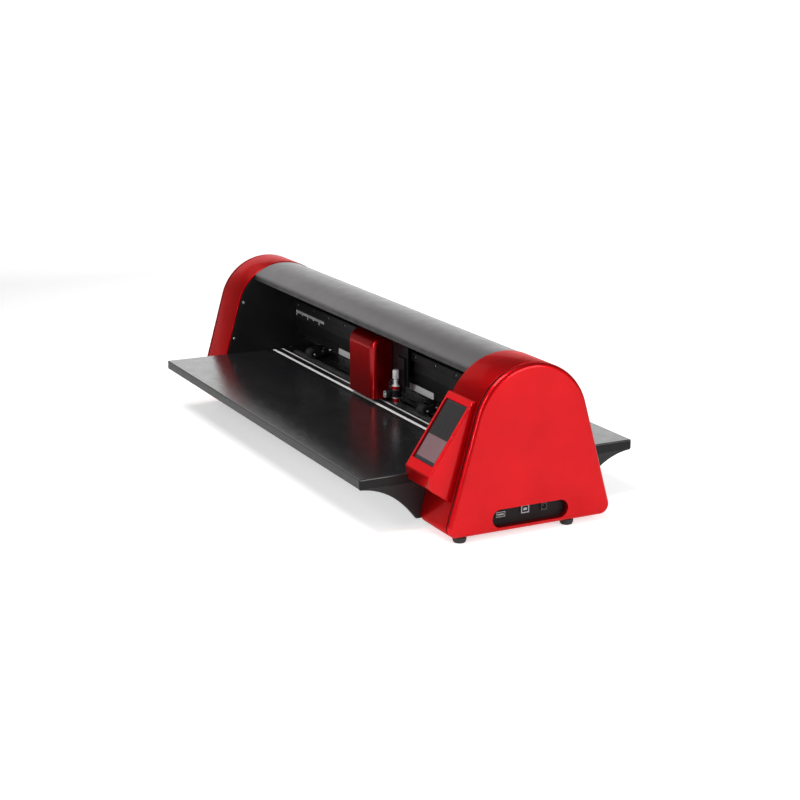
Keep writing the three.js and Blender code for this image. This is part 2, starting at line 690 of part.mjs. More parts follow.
function pinchRoller() {
  const r = ROLLER_RADIUS;
  const half = ROLLER_HALF_WIDTH;
  const chamfer = 0.8;
  const axle = { radius: 1.5, half: 12.6 };
  const right = [
    [r, half - chamfer], [r - chamfer, half], [axle.radius, half], [axle.radius, axle.half], [0, axle.half],
  ];
  const left = right.map(([radius, x]) => [radius, -x]).reverse();
  return turnedX([...left, ...right], DRUM_Y, ROLLER_Z, 24);
}

// Torsion spring: a coil around the pivot shaft with one leg along the arm.
class SpringWire extends THREE.Curve {
  constructor(coilRadius, turns, pitch, leg) {
    super();
    Object.assign(this, { coilRadius, turns, pitch, leg });
  }

  getPoint(t, target = new THREE.Vector3()) {
    const legShare = 0.15;
    if (t < legShare) {
      const along = 1 - t / legShare;
      return target.set(0, -this.leg * along, this.coilRadius);
    }
    const turn = ((t - legShare) / (1 - legShare)) * this.turns;
    const angle = turn * 2 * Math.PI;
    const { coilRadius, pitch } = this;
    return target.set(turn * pitch, coilRadius * Math.sin(angle), coilRadius * Math.cos(angle));
  }
}

function pinchSpring() {
  const coil = { radius: PIVOT_RADIUS + 1.3, turns: 4, pitch: 1.6, leg: 14 };
  const wire = new SpringWire(coil.radius, coil.turns, coil.pitch, coil.leg);
  const section = new THREE.Shape(circle(0, 0, 0.55, 6));
  return new THREE.ExtrudeGeometry(section, { steps: 64, extrudePath: wire, bevelEnabled: false });
}

function buildPinchAssemblies() {
  ['left', 'right'].forEach((side, index) => {
    const assembly = new THREE.Group();
    assembly.position.x = ROLLER_X[index];
    machine.add(assembly);
    part(`${side}_pinch_arm`, pinchArm(), blackMetal, assembly);
    part(`${side}_pinch_roller`, pinchRoller(), rubber, assembly);
    part(`${side}_pinch_spring`, pinchSpring(), steel, assembly).position.set(13.2, PIVOT.y, PIVOT.z);
  });
}

function buildRelease() {
  const flat = THREE.MathUtils.degToRad(52);
  const radius = 4;
  const section = arc(RELEASE.y, RELEASE.z, radius, -Math.PI / 2 + flat, 1.5 * Math.PI - flat, 16);
  part('release_shaft', extrudeX(section, -SPAN_X, INNER_X - 15), steel);

  const tilt = THREE.MathUtils.degToRad(12);
  const reach = 46;
  const tip = vec(RELEASE.y + reach * Math.cos(tilt), RELEASE.z + reach * Math.sin(tilt));
  const half = Math.PI / 2;
  const outline = [
    ...arc(RELEASE.y, RELEASE.z, 7.5, tilt + half, tilt + 3 * half, 12),
    ...arc(tip.x, tip.y, 4, tilt - half, tilt + half, 8),
  ];
  const hole = circle(RELEASE.y, RELEASE.z, radius + GAP, 16);
  part('release_lever', extrudeX(outline, LEVER_X[0], LEVER_X[1], [hole]), darkPlastic);
}

// ---------------------------------------------------------------- screen pod

const FACE_TILT = Math.atan2(POD_TOP.y - POD_CHIN.y, POD_TOP.z - POD_CHIN.z);

// Matrix from face coordinates (X across, Y up the face, Z outwards) to the machine's.
const faceMatrix = new THREE.Matrix4()
  .makeRotationX(Math.PI / 2 - FACE_TILT)
  .setPosition((POD.x0 + POD.x1) / 2, POD_CHIN.y, POD_CHIN.z);

function faceBox(width, y0, y1, z0, z1) {
  return box(-width / 2, width / 2, y0, y1, z0, z1).applyMatrix4(faceMatrix);
}

// A counter-clockwise outline with every edge moved inwards.
function insetOutline(points, distance) {
  const edges = points.map((p, i) => {
    const next = points[(i + 1) % points.length];
    const along = next.clone().sub(p).normalize();
    const inward = vec(-along.y, along.x);
    return { along, start: p.clone().addScaledVector(inward, distance) };
  });
  return edges.map((edge, i) => {
    const before = edges[(i + edges.length - 1) % edges.length];
    const between = edge.start.clone().sub(before.start);
    const reach = between.cross(edge.along) / before.along.cross(edge.along);
    return before.start.clone().addScaledVector(before.along, reach);
  });
}

function buildPod() {
  const side = [POD_TOP, POD_CHIN, POD_LIP, POD_UNDER].map(({ y, z }) => vec(y, z));
  const outline = [...side, vec(-60, 16), vec(-60, POD_TOP.z - 3)];
  const blank = extrudeX(outline, POD.x0, POD.x1);
  const cavity = extrudeX(insetOutline(outline, POD.wall), POD.x0 + POD.wall, POD.x1 - POD.wall);
  const housing = extrudeX(housingOutline(-GAP, 40), POD.x0 - 10, POD.x1 + 10);
  const top = SCREEN.fromBottom + SCREEN.height;
  const window = faceBox(SCREEN.width, SCREEN.fromBottom, top, -POD.wall - 1, 1);
  part('pod_housing', cut(blank, cavity, housing, window), redPlastic);

  const edge = GAP + 0.1;
  const glass = faceBox(SCREEN.width - 2 * edge, SCREEN.fromBottom + edge, top - edge, -4.2, -1.8);
  part('touchscreen', glass, screenGlass);
}

// ---------------------------------------------------------------- ports

const BOARD_Z = [24, 25.6];
const PORTS = {
  usb_a: { y: -42, width: 13.2, height: 7 },
  usb_b: { y: -6, width: 12, height: 11 },
  jack: { y: 22, width: 9, height: 10 },
};

function portBody(port, mouth) {
  const base = BOARD_Z[1] + GAP;
  const body = box(415, 433, port.y - port.width / 2, port.y + port.width / 2, base, base + port.height);
  return cut(body, ...mouth(base + port.height / 2, port.y));
}

function centred(y, z, width, height) {
  return rectangle(y - width / 2, y + width / 2, z - height / 2, z + height / 2);
}

// Socket mouth around a tongue that fills its middle.
function socketMouth(mouth, tongue) {
  return (z, y) => [extrudeX(centred(y, z, ...mouth), 425, 434, [centred(y, z, ...tongue)])];
}

function barrelMouth(z, y) {
  return [extrudeX(circle(y, z, 3, 16), 423, 434, [circle(y, z, 1, 8)])];
}

function buildPorts() {
  part('main_board', box(366, 426, -60, 60, ...BOARD_Z), boardGreen);
  part('usb_a_port', portBody(PORTS.usb_a, socketMouth([11.6, 5], [9.6, 2])), brightMetal);
  part('usb_b_port', portBody(PORTS.usb_b, socketMouth([8.8, 8], [5.6, 3.6])), brightMetal);
  part('power_jack', portBody(PORTS.jack, barrelMouth), darkPlastic);

  const base = BOARD_Z[1] + GAP;
  const openings = Object.values(PORTS).map(({ y, width, height }) => extrudeX(
    centred(y, base + height / 2, width + 2 * GAP, height + 2 * GAP), 428, 432));
  const outline = stadium(PORT_SLOT.y, PORT_SLOT.z, PORT_SLOT.length + 6, PORT_SLOT.height + 4, 8);
  part('port_panel', cut(extrudeX(outline, 429, 430.9), ...openings), darkPlastic);
}

// ---------------------------------------------------------------- assembly

buildHousing('left');
buildHousing('right');
buildSidePlates();
buildFeet();
buildBaseFrame();
buildTables();
buildTopCover();
buildPlaten();
buildBeam();
buildPinchBar();
buildDrum();
buildDrumMotor();
buildDrumBelt();
buildCarriageMotor();
buildCarriageBelt();
buildIdler();
buildCarriagePlate();
buildCarriageCover();
buildToolSlide();
buildBladeHolder();
buildClampKnob();
buildPinchAssemblies();
buildRelease();
buildPod();
buildPorts();

export default machine;
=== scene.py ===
# Desktop vinyl cutter: how it looks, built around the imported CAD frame.
# Lengths are millimetres in the row frame, and metres for the lights and the floor. -Y is the front.
import json
import random
from math import acos, atan2, cos, hypot, pi, radians, sin

import bmesh
import bpy
from mathutils import Matrix, Vector


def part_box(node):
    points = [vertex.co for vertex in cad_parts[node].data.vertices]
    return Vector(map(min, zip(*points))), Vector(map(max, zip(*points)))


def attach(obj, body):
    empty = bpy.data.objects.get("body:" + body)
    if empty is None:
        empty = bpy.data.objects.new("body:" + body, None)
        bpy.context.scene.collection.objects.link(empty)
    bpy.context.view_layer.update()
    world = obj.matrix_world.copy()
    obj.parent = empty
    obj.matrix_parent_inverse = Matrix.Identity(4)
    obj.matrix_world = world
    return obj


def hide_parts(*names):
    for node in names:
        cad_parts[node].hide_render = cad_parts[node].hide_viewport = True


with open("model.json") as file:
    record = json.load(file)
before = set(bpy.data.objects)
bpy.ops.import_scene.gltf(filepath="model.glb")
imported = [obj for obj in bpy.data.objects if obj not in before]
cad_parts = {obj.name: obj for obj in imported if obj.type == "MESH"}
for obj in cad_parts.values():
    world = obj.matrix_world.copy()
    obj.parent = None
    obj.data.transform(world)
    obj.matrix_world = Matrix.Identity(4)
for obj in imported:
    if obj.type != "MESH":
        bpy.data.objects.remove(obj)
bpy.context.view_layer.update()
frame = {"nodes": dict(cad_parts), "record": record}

MM = 0.001
SIDES = {"left": -1, "right": 1}
BODY_OF = {
    node: body
    for body, nodes in frame["record"]["behaviour"]["bodies"].items()
    for node in nodes
}


def box_mm(node):
    low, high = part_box(node)
    return low / MM, high / MM


def middle_mm(node):
    low, high = box_mm(node)
    return [(a + b) / 2 for a, b in zip(low, high)]


# -------- driving dimensions

CAP_LOW, CAP_HIGH = box_mm("right_end_cap")
SHELL_LOW = box_mm("right_shell")[0]
ARCH_RADIUS = 82.2
ARCH_Z = CAP_HIGH.z - ARCH_RADIUS
FOOT_HEIGHT = CAP_LOW.z
BASE_HALF = 123.3
BASE_CORNER = 13
SHELL_WALL = 3
COVER_INSET = 1.0
SLOPE = acos(ARCH_RADIUS / hypot(BASE_HALF, ARCH_Z - FOOT_HEIGHT)) - atan2(
    ARCH_Z - FOOT_HEIGHT, BASE_HALF
)
INNER_X = SHELL_LOW.x
BELT_Y = (24.5, 30.5)

# -------- camera, floor, light

VIEW_AZIMUTH = radians(63.15)
VIEW_ELEVATION = radians(14.85)
VIEW_DISTANCE = 2400
VIEW_AIM = Vector((127.6, -30.1, 105.4))
LENS = 76.57
SKY_STRENGTH = 0.24


def make_camera():
    data = bpy.data.cameras.new("camera")
    data.lens = LENS
    data.sensor_width = 36
    data.clip_end = 50
    camera = bpy.data.objects.new("camera", data)
    flat = cos(VIEW_ELEVATION)
    back = Vector((sin(VIEW_AZIMUTH) * flat, -cos(VIEW_AZIMUTH) * flat, sin(VIEW_ELEVATION)))
    camera.location = (VIEW_AIM + back * VIEW_DISTANCE) * MM
    camera.rotation_euler = (-back).to_track_quat("-Z", "Y").to_euler()
    bpy.context.scene.collection.objects.link(camera)
    bpy.context.scene.camera = camera


def area_light(name, location, target, size, power):
    data = bpy.data.lights.new(name, "AREA")
    data.shape = "RECTANGLE"
    data.size, data.size_y = size
    data.energy = power
    light = bpy.data.objects.new(name, data)
    light.location = location
    light.rotation_euler = (Vector(target) - Vector(location)).to_track_quat("-Z", "Y").to_euler()
    bpy.context.scene.collection.objects.link(light)


def make_studio():
    world = bpy.data.worlds.new("studio")
    bpy.context.scene.world = world
    world.use_nodes = True
    background = world.node_tree.nodes["Background"]
    background.inputs["Color"].default_value = (1, 1, 1, 1)
    background.inputs["Strength"].default_value = SKY_STRENGTH
    area_light("top_panel", (0.0, -0.75, 1.95), (0, 0, 0.05), (1.5, 0.8), 30)
    area_light("right_panel", (2.4, 0.9, 1.0), (0.4, 0, 0.1), (1.2, 1.2), 31)
    area_light("front_strip", (0.95, -1.8, 0.95), (0.1, 0, 0.1), (0.14, 1.3), 18)
    area_light("left_panel", (-2.0, -0.3, 1.4), (0, 0, 0.15), (1.0, 0.8), 2)
    bpy.context.scene.view_settings.view_transform = "Standard"


# -------- outlines in millimetres


def arc(cx, cy, radius, start, end, steps):
    """Points (u, v) on an arc, both ends included."""
    angles = [start + (end - start) * i / steps for i in range(steps + 1)]
    return [(cx + radius * cos(a), cy + radius * sin(a)) for a in angles]


def quarter(steps):
    """Angles from 0 to a right angle."""
    return [pi / 2 * k / steps for k in range(steps + 1)]


def round_in(start, radius, steps=6):
    """(place, inset) points that round off an edge: the full inset at the start, then down to none."""
    return [(start + radius * (1 - cos(a)), radius * (1 - sin(a))) for a in quarter(steps)]


def round_out(end, radius, steps=6):
    """(place, inset) points that round off an edge: none at first, and the full inset at the end."""
    return [(end - radius * (1 - sin(a)), radius * (1 - cos(a))) for a in quarter(steps)]


def housing_outline(inset, arch_steps=64, corner_steps=8):
    """The housing's outline in YZ, counter-clockwise, moved inwards by inset."""
    radius = ARCH_RADIUS - inset
    corner = max(BASE_CORNER - inset, 1)
    corner_z = FOOT_HEIGHT + inset + corner
    corner_y = (radius - corner - (corner_z - ARCH_Z) * sin(SLOPE)) / cos(SLOPE)
    return (
        arc(corner_y, corner_z, corner, -pi / 2, SLOPE, corner_steps)
        + arc(0, ARCH_Z, radius, SLOPE, pi - SLOPE, arch_steps)
        + arc(-corner_y, corner_z, corner, pi - SLOPE, 1.5 * pi, corner_steps)
    )


def slope_y(z, depth):
    """How far behind the middle the housing's slope is at a height, moved inwards by depth."""
    return (ARCH_RADIUS - depth - (z - ARCH_Z) * sin(SLOPE)) / cos(SLOPE)


def inset_outline(points, distance):
    """A closed counter-clockwise outline with every edge moved inwards."""
    points = [Vector(p) for p in points]
    lines = []
    for p, q in zip(points, points[1:] + points[:1]):
        along = (q - p).normalized()
        lines.append((p + Vector((-along.y, along.x)) * distance, along))
    moved = []
    for (p, a), (q, b) in zip(lines[-1:] + lines[:-1], lines):
        reach = (q - p).cross(b) / a.cross(b)
        moved.append(tuple(p + a * reach))
    return moved


def rounded(points, radius, steps=4, closed=True):
    """An outline with its corners rounded; a corner too short for the radius gets less."""
    points = [Vector(p) for p in points]
    count = len(points)
    out = []
    for i, corner in enumerate(points):
        if not closed and i in (0, count - 1):
            out.append(tuple(corner))
            continue
        before, after = points[i - 1] - corner, points[(i + 1) % count] - corner
        size = min(radius, 0.45 * before.length, 0.45 * after.length)
        start = corner + before.normalized() * size
        end = corner + after.normalized() * size
        for k in range(steps + 1):
            t = k / steps
            out.append(tuple(start * (1 - t) ** 2 + corner * 2 * t * (1 - t) + end * t * t))
    return out


def rectangle(u0, u1, v0, v1):
    return [(u0, v0), (u1, v0), (u1, v1), (u0, v1)]


def stadium(cu, cv, length, height, steps=16):
    radius = height / 2
    reach = length / 2 - radius
    return arc(cu + reach, cv, radius, -pi / 2, pi / 2, steps) + arc(
        cu - reach, cv, radius, pi / 2, 1.5 * pi, steps
    )


# -------- mesh building


def at_x(outline, x):
    return [(x, u, v) for u, v in outline]


def at_y(outline, y):
    return [(u, y, v) for u, v in outline]


def at_z(outline, z):
    return [(u, v, z) for u, v in outline]


PLANES = {"x": at_x, "y": at_y, "z": at_z}


def link_mesh(name, bm, smooth=True):
    bmesh.ops.recalc_face_normals(bm, faces=bm.faces)
    mesh = bpy.data.meshes.new(name)
    bm.to_mesh(mesh)
    bm.free()
    mesh.polygons.foreach_set("use_smooth", [smooth] * len(mesh.polygons))
    obj = bpy.data.objects.new(name, mesh)
    bpy.context.scene.collection.objects.link(obj)
    return obj


def add_loft(bm, rings, join=False):
    """Quads between rings of the same length; the ends are capped, or joined to each other."""
    layers = [[bm.verts.new(Vector(p) * MM) for p in ring] for ring in rings]
    following = layers[1:] + layers[:1] if join else layers[1:]
    for a, b in zip(layers, following):
        for i in range(len(a)):
            j = (i + 1) % len(a)
            bm.faces.new((a[i], a[j], b[j], b[i]))
    if not join:
        bm.faces.new(layers[0])
        bm.faces.new(list(reversed(layers[-1])))


def loft(name, rings, join=False):
    bm = bmesh.new()
    add_loft(bm, rings, join)
    return link_mesh(name, bm)


def add_prism(bm, axis, outline, start, end):
    add_loft(bm, [PLANES[axis](outline, start), PLANES[axis](outline, end)])


def prism(name, axis, outline, start, end):
    bm = bmesh.new()
    add_prism(bm, axis, outline, start, end)
    return link_mesh(name, bm)


def add_box(bm, x0, x1, y0, y1, z0, z1):
    add_prism(bm, "x", rectangle(y0, y1, z0, z1), x0, x1)


def add_turned(bm, axis, profile, centre, segments=64, groove=None):
    """Turns (radius, distance) points about an axis through centre; groove(i, angle) lowers a radius."""
    closed = profile[0] == profile[-1]
    points = profile[:-1] if closed else profile
    layers = []
    for i, (radius, along) in enumerate(points):
        layer = []
        on_axis = radius < 1e-6
        for k in range(1 if on_axis else segments):
            angle = 2 * pi * k / segments
            r = radius - (groove(i, angle) if groove and not on_axis else 0)
            u, v = r * cos(angle), r * sin(angle)
            place = {"x": (along, u, v), "y": (u, along, v), "z": (u, v, along)}[axis]
            layer.append(bm.verts.new((Vector(place) + Vector(centre)) * MM))
        layers.append(layer)
    for a, b in zip(layers, layers[1:] + (layers[:1] if closed else [])):
        for k in range(segments):
            corners = [a[k % len(a)], a[(k + 1) % len(a)], b[(k + 1) % len(b)], b[k % len(b)]]
            unique = [c for n, c in enumerate(corners) if c not in corners[:n]]
            if len(unique) > 2:
                bm.faces.new(unique)


def turned(name, axis, profile, centre, segments=64, groove=None):
    bm = bmesh.new()
    add_turned(bm, axis, profile, centre, segments, groove)
    return link_mesh(name, bm)


def add_tube(bm, path, radius, sides=10):
    """A round wire along a path of points."""
    path = [Vector(p) for p in path]
    normal = Vector((0.3, 0.5, 0.8))
    rings = []
    for i, p in enumerate(path):
        along = (path[min(i + 1, len(path) - 1)] - path[max(i - 1, 0)]).normalized()
        normal = (normal - along * normal.dot(along)).normalized()
        across = along.cross(normal)
        rings.append([
            p + (normal * cos(a) + across * sin(a)) * radius
            for a in (2 * pi * k / sides for k in range(sides))
        ])
    add_loft(bm, rings)


def soften(obj, width, segments=2, angle=32):
    """Rounds the sharp edges, and keeps flat faces flat in the shading."""
    bevel = obj.modifiers.new("round_edges", "BEVEL")
    bevel.width = width * MM
    bevel.segments = segments
    bevel.limit_method = "ANGLE"
    bevel.angle_limit = radians(angle)
    bevel.use_clamp_overlap = True
    return flat_shaded(obj)


def flat_shaded(obj):
    """Keeps flat faces flat in the shading."""
    obj.modifiers.new("flat_faces", "WEIGHTED_NORMAL").keep_sharp = True
    return obj


def sharpened(obj, angle=30):
    """Shades edges steeper than the angle as sharp."""
    obj.data.set_sharp_from_angle(angle=radians(angle))
    return obj


def bake(obj):
    """Applies the modifiers."""
    graph = bpy.context.evaluated_depsgraph_get()
    mesh = bpy.data.meshes.new_from_object(obj.evaluated_get(graph))
    obj.modifiers.clear()
    obj.data = mesh
    return obj


def combine(obj, *tools, operation="DIFFERENCE"):
    """Cuts other objects out of a piece, or keeps only what is inside them, and removes them."""
    for tool in tools:
        modifier = obj.modifiers.new("combine", "BOOLEAN")
        modifier.operation = operation
        modifier.object = tool
        modifier.solver = "EXACT"
    bake(obj)
    for tool in tools:
        bpy.data.objects.remove(tool)
    return obj


def refined_mesh(node):
    """A CAD node's own faces with their triangles merged."""
    bm = bmesh.new()
    bm.from_mesh(frame["nodes"][node].data)
    bmesh.ops.remove_doubles(bm, verts=bm.verts, dist=2e-6)
    bmesh.ops.dissolve_limit(bm, angle_limit=radians(0.6), verts=bm.verts, edges=bm.edges)
    return bm


def refined(node, width, segments=2, angle=32):
    return soften(link_mesh(f"{node}_fine", refined_mesh(node)), width, segments, angle)


def dress(obj, slot, *replaced, body="chassis", look=None):
    """Gives a piece its body and the finish that its slot names; look names a finish other than the slot's
    own.

    A piece that replaces CAD nodes rides on their body.
    """
    obj.data.materials.clear()
    obj.data.materials.append(FINISHES[look or slot])
    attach(obj, BODY_OF[replaced[0]] if replaced else body)
    if replaced:
        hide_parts(*replaced)
    return obj


def plain(node, slot, *rounding, look=None, **how):
    """A piece that is the CAD node's own shape with its edges rounded."""
    return dress(refined(node, *rounding, **how), slot, node, look=look)


def second_finish(obj, look, chosen):
    """Gives a second finish to the faces whose normal the test chooses."""
    obj.data.materials.append(FINISHES[look])
    for face in obj.data.polygons:
        if chosen(face.normal):
            face.material_index = 1


# -------- finishes


class Tree:
    """A material's node tree, with short ways to add the nodes that every finish uses."""

    def __init__(self, name):
        self.material = bpy.data.materials.new(name)
        self.material.use_nodes = True
        self.nodes = self.material.node_tree.nodes
        self.links = self.material.node_tree.links
        self.shader = self.nodes["Principled BSDF"]
        self.coordinates = self.add("ShaderNodeTexCoord").outputs["Object"]

    def add(self, kind, **values):
        node = self.nodes.new(kind)
        for key, value in values.items():
            setattr(node, key, value)
        return node

    def plug(self, source, node, socket):
        self.links.new(source, node.inputs[socket])

    def set(self, **values):
        for key, value in values.items():
            self.shader.inputs[key.replace("_", " ")].default_value = value

    def stretched(self, scale):
        mapping = self.add("ShaderNodeMapping")
        mapping.inputs["Scale"].default_value = scale
        self.plug(self.coordinates, mapping, "Vector")
        return mapping.outputs["Vector"]

    def noise(self, scale, detail=3, vector=None):
        node = self.add("ShaderNodeTexNoise")
        node.inputs["Scale"].default_value = scale
        node.inputs["Detail"].default_value = detail
        self.plug(vector or self.coordinates, node, "Vector")
        return node.outputs["Fac"]

    def mapped(self, source, low, high, out_low, out_high):
        node = self.add("ShaderNodeMapRange")
        ranges = {"From Min": low, "From Max": high, "To Min": out_low, "To Max": out_high}
        for key, value in ranges.items():
            node.inputs[key].default_value = value
        self.plug(source, node, "Value")
        return node.outputs["Result"]

    def mixed(self, factor, a, b):
        node = self.add("ShaderNodeMix", data_type="RGBA")
        self.plug(factor, node, 0)
        for socket, value in ((6, a), (7, b)):
            if isinstance(value, tuple):
                node.inputs[socket].default_value = (*value, 1)
            else:
                self.plug(value, node, socket)
        return node.outputs[2]

    def bump(self, height, distance):
        node = self.add("ShaderNodeBump")
        node.inputs["Distance"].default_value = distance * MM
        node.inputs["Strength"].default_value = 1.0
        self.plug(height, node, "Height")
        return node.outputs["Normal"]

    def measured(self, direction, absolute=False):
        """Distance from the origin along a direction."""
        node = self.add("ShaderNodeVectorMath", operation="DOT_PRODUCT")
        self.plug(self.coordinates, node, 0)
        node.inputs[1].default_value = direction
        return self.maths("ABSOLUTE", node.outputs["Value"]) if absolute else node.outputs["Value"]

    def maths(self, operation, *sources):
        node = self.add("ShaderNodeMath", operation=operation)
        for i, source in enumerate(sources):
            self.plug(source, node, i)
        return node.outputs[0]

    def edges(self, radius):
        """1 along sharp edges and 0 on open faces."""
        bevel = self.add("ShaderNodeBevel", samples=4)
        bevel.inputs["Radius"].default_value = radius * MM
        dot = self.add("ShaderNodeVectorMath", operation="DOT_PRODUCT")
        self.plug(bevel.outputs["Normal"], dot, 0)
        self.plug(self.add("ShaderNodeNewGeometry").outputs["True Normal"], dot, 1)
        return self.mapped(dot.outputs["Value"], 0.995, 0.88, 0, 1)


def finish(name, dark, light, rough, grain, mottle=18, stretch=None, wear=None, **shader):
    """A finish with mottled colour, uneven roughness and a fine grain in relief."""
    tree = Tree(name)
    vector = tree.stretched(stretch) if stretch else None
    colour = tree.mixed(tree.mapped(tree.noise(mottle, 4), 0.3, 0.7, 0, 1), dark, light)
    grain_scale, grain_depth = grain
    fine = tree.noise(grain_scale, 3, vector)
    if wear:
        worn = tree.maths("MULTIPLY", tree.edges(0.7), tree.mapped(tree.noise(140, 4), 0.42, 0.62, 0, 0.8))
        colour = tree.mixed(worn, colour, wear)
    tree.plug(colour, tree.shader, "Base Color")
    blotch = tree.noise(55, 4, vector)
    tree.plug(tree.mapped(blotch, 0.3, 0.7, *rough), tree.shader, "Roughness")
    tree.plug(tree.bump(fine, grain_depth), tree.shader, "Normal")
    tree.set(**shader)
    return tree.material


def make_finishes():
    """A row says: name, darkest and lightest colour, least and most roughness, grain scale and depth."""
    finishes = {}
    across_x = (0.02, 1, 1)

    def add(name, *row, **rest):
        finishes[name] = finish(name, *row, **rest)

    def red(name, dark, light, rough, coat, metallic, tint):
        add(name, dark, light, rough, (1400, 0.02), Coat_Weight=coat, Coat_Roughness=0.08,
            Specular_IOR_Level=0.2, Metallic=metallic, Specular_Tint=(1, tint, tint, 1))

    red("red_gloss", (0.45, 0.002, 0.005), (0.52, 0.003, 0.006), (0.36, 0.42), 0.25, 0.85, 0.2)
    # painted light: red_face_lit is a lighter copy of the red paint, for the pod's sloping face as if it
    # caught more light
    red("red_face_lit", (0.62, 0.003, 0.006), (0.68, 0.004, 0.008), (0.34, 0.4), 0.25, 0.35, 0.2)
    # painted shade: red_carriage_shaded is a darker copy of the red paint, for the carriage cover as if it
    # sat in the machine's shade
    red("red_carriage_shaded", (0.33, 0.002, 0.004), (0.38, 0.003, 0.005), (0.34, 0.4), 0.3, 0.9, 0.15)
    # painted shade: red_shell_shaded is a darker, duller copy of the red paint, for the shells' bands as if
    # they sat in shade
    red("red_shell_shaded", (0.35, 0.002, 0.004), (0.41, 0.003, 0.005), (0.36, 0.42), 0.08, 0.85, 0.1)
    add("black_panel", (0.006, 0.006, 0.007), (0.010, 0.010, 0.011), (0.38, 0.48), (2600, 0.03),
        wear=(0.05, 0.05, 0.052), Specular_IOR_Level=0.3)
    # painted shade: table_black_shaded is a darker, duller copy of the table's black, for the tables' upright
    # edges and the platen
    add("table_black_shaded", (0.006, 0.0055, 0.0058), (0.009, 0.0085, 0.0088), (0.3, 0.36), (2600, 0.012),
        wear=(0.05, 0.05, 0.052), Specular_IOR_Level=0.16)
    add("table_black", (0.009, 0.009, 0.010), (0.014, 0.014, 0.015), (0.2, 0.26), (2600, 0.012),
        wear=(0.05, 0.05, 0.052), Specular_IOR_Level=0.8)
    add("cover_satin", (0.048, 0.043, 0.045), (0.060, 0.054, 0.056), (0.32, 0.38), (2400, 0.02),
        wear=(0.12, 0.12, 0.122), Specular_IOR_Level=0.6)
    add("black_metal", (0.005, 0.005, 0.006), (0.010, 0.010, 0.011), (0.34, 0.5), (2000, 0.02),
        stretch=across_x, wear=(0.06, 0.06, 0.064), Specular_IOR_Level=0.16)
    add("grey_band", (0.010, 0.010, 0.010), (0.014, 0.014, 0.014), (0.42, 0.5), (2000, 0.02),
        stretch=across_x, wear=(0.08, 0.08, 0.084), Specular_IOR_Level=0.25)
    add("grit", (0.06, 0.06, 0.06), (0.12, 0.12, 0.12), (0.55, 0.7), (3500, 0.12), Metallic=0.8)
    add("display", (0.012, 0.010, 0.011), (0.015, 0.013, 0.014), (0.12, 0.16), (40, 0.0005),
        Coat_Weight=0.5, Coat_Roughness=0.03)
    # painted reflection: display_pink_reflection paints a pink reflection into the lower part of the screen
    add("display_pink_reflection", (0.15, 0.085, 0.095), (0.17, 0.095, 0.105), (0.12, 0.16), (40, 0.0005),
        Coat_Weight=0.5, Coat_Roughness=0.03)
    add("grey_metal", (0.22, 0.22, 0.23), (0.33, 0.33, 0.34), (0.3, 0.45), (2200, 0.03), Metallic=0.9)
    add("steel", (0.45, 0.45, 0.46), (0.6, 0.6, 0.61), (0.2, 0.35), (1800, 0.01),
        stretch=across_x, Metallic=1.0)
    add("bright_metal", (0.72, 0.72, 0.73), (0.84, 0.84, 0.85), (0.22, 0.34), (1500, 0.012),
        stretch=across_x, Metallic=0.35)
    add("white_strip", (0.84, 0.84, 0.84), (0.9, 0.9, 0.9), (0.3, 0.4), (1500, 0.012),
        stretch=across_x, Specular_IOR_Level=0.8)
    add("silver_plate", (0.74, 0.73, 0.74), (0.82, 0.81, 0.82), (0.34, 0.42), (1500, 0.012),
        stretch=across_x, Metallic=0.2)
    add("pale_strip", (0.55, 0.55, 0.52), (0.7, 0.7, 0.67), (0.4, 0.55), (1200, 0.02))
    add("screen", (0.010, 0.011, 0.013), (0.013, 0.014, 0.016), (0.04, 0.08), (300, 0.001),
        Coat_Weight=1.0, Coat_Roughness=0.02)
    add("circuit_board", (0.01, 0.07, 0.03), (0.015, 0.11, 0.045), (0.3, 0.4), (900, 0.02), mottle=90)
    add("dark_plastic", (0.012, 0.012, 0.012), (0.02, 0.02, 0.02), (0.42, 0.55), (3000, 0.03),
        Specular_IOR_Level=0.4)
    add("port_black", (0.006, 0.003, 0.0035), (0.009, 0.0045, 0.005), (0.45, 0.55), (3000, 0.02),
        Specular_IOR_Level=0.15)
    add("rubber", (0.012, 0.012, 0.012), (0.022, 0.021, 0.021), (0.7, 0.85), (1500, 0.08))
    return finishes


